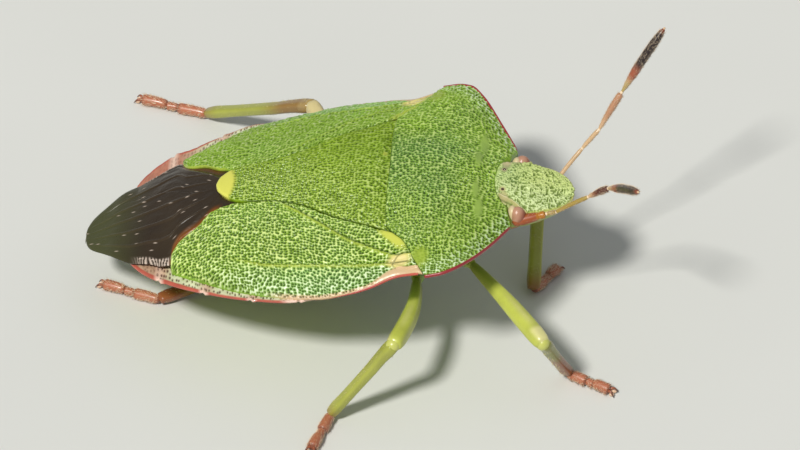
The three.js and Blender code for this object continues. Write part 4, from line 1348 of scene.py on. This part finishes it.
# The olive tint is partly painted shade, and the pale tint partly a painted highlight.
leg_skin = skin_material(
    "leg_skin", LEG_GREEN, 0.36,
    [("dusk", srgb(128, 128, 46)), ("yellow", YELLOW_GREEN), ("brown", srgb(140, 80, 42)),
     ("pale", srgb(238, 226, 170))],
)
foot_skin = skin_material(
    "foot_skin", FOOT_BROWN, 0.42,
    [("red", srgb(166, 92, 62)), ("dark", srgb(84, 44, 28)), ("pale", HAIR_CREAM)],
)
feeler_skin = skin_material(
    "feeler_skin", srgb(214, 176, 136), 0.4,
    [("orange", srgb(176, 112, 26)), ("olive", srgb(150, 140, 44)), ("red", srgb(150, 66, 40)),
     ("dark", srgb(40, 26, 24)), ("pale", HAIR_CREAM)],
)
eye_skin = skin_material("eye_facets", srgb(186, 138, 112), 0.3, [("rust", srgb(140, 72, 50))], 0.4)
simple_eye_skin = skin_material("simple_eye_glass", srgb(66, 34, 22), 0.12, [], 0.8)

make_pronotum(pronotum_shell)
make_scutellum(scutellum_shell)
make_forewing("corium_left", 1, wing_shell, "forewing_left")
make_forewing("corium_right", -1, wing_shell, "forewing_right")
make_membrane("wing_membrane_left", 1, membrane_skin, "membrane_left")
make_membrane("wing_membrane_right", -1, membrane_skin, "membrane_right")
make_rim("rim_left", 1, rim_skin, "connexivum_left")
make_rim("rim_right", -1, rim_skin, "connexivum_right")
make_belly(belly_skin)
make_head(head_skin)
make_eye("compound_eye_left", 1, eye_skin, "eye_left")
make_eye("compound_eye_right", -1, eye_skin, "eye_right")
make_simple_eyes(simple_eye_skin)
make_feeler("left", feeler_skin)
make_feeler("right", feeler_skin)
make_beak(foot_skin)
for leg_name in LEG_JOINTS:
    make_leg(leg_name, leg_skin, foot_skin)


# Floor, lights and camera


def make_floor():
    material, tree, shader = new_material("pale_floor")
    colour = mix_colour(tree, noise(tree, 60.0), srgb(214, 214, 210), srgb(224, 224, 220))
    tree.links.new(colour, shader.inputs["Base Color"])
    feed(tree, shader.inputs["Roughness"], 0.7)
    bpy.ops.mesh.primitive_plane_add(size=1.2, location=(0, 0, 0))
    floor = bpy.context.object
    floor.name = "floor"
    floor.data.materials.append(material)


def add_sun(name, towards, strength, spread, colour):
    """A distant soft light that shines from the direction given."""
    light = bpy.data.lights.new(name, "SUN")
    light.energy = strength
    light.angle = math.radians(spread)
    light.color = colour
    lamp = bpy.data.objects.new(name, light)
    lamp.rotation_mode = "QUATERNION"
    lamp.rotation_quaternion = Vector(towards).to_track_quat("Z", "Y")
    bpy.context.scene.collection.objects.link(lamp)


def make_lights():
    add_sun("key", (-0.32, -0.56, 0.78), 3.0, 8, (1.0, 0.99, 0.94))
    add_sun("fill", (0.5, 0.35, 0.8), 0.16, 70, (0.93, 0.97, 1.0))
    world = bpy.data.worlds.new("studio")
    bpy.context.scene.world = world
    world.use_nodes = True
    background = world.node_tree.nodes["Background"]
    background.inputs["Color"].default_value = (0.92, 0.96, 1.0, 1)
    background.inputs["Strength"].default_value = 0.25


CAMERA_AZIMUTH = math.radians(2.44)
CAMERA_ELEVATION = math.radians(39.94)
CAMERA_ROLL = math.radians(2.2)
CAMERA_DISTANCE = 0.3
SENSOR_WIDTH = 36
PIXELS_PER_MM = 38.5
IMAGE_WIDTH = 800
IMAGE_CENTRE_PX = (400, 225)
BODY_ZERO_PX = (439.9, 179.5)


def make_camera():
    az, el, roll = CAMERA_AZIMUTH, CAMERA_ELEVATION, CAMERA_ROLL
    back = np.array([math.sin(az) * math.cos(el), -math.cos(az) * math.cos(el), math.sin(el)])
    level = np.array([math.cos(az), math.sin(az), 0])
    rise = np.cross(back, level)
    right = level * math.cos(roll) + rise * math.sin(roll)
    up = np.cross(back, right)
    shift = (np.array(IMAGE_CENTRE_PX) - BODY_ZERO_PX) / PIXELS_PER_MM
    target = tip_up((0, 0, 0)) + CENTRING + right * shift[0] - up * shift[1]
    place = target * MM + back * CAMERA_DISTANCE
    camera = bpy.data.cameras.new("camera")
    camera.sensor_width = SENSOR_WIDTH
    camera.lens = SENSOR_WIDTH * CAMERA_DISTANCE / (IMAGE_WIDTH / PIXELS_PER_MM * MM)
    camera.clip_start = 0.01
    camera.clip_end = 5
    lens = bpy.data.objects.new("camera", camera)
    turn = Matrix((right, up, back)).transposed().to_4x4()
    lens.matrix_world = Matrix.Translation(place) @ turn
    bpy.context.scene.collection.objects.link(lens)
    bpy.context.scene.camera = lens


make_floor()
make_lights()
make_camera()
bpy.context.scene.view_settings.view_transform = "Standard"

bpy.context.view_layer.update()
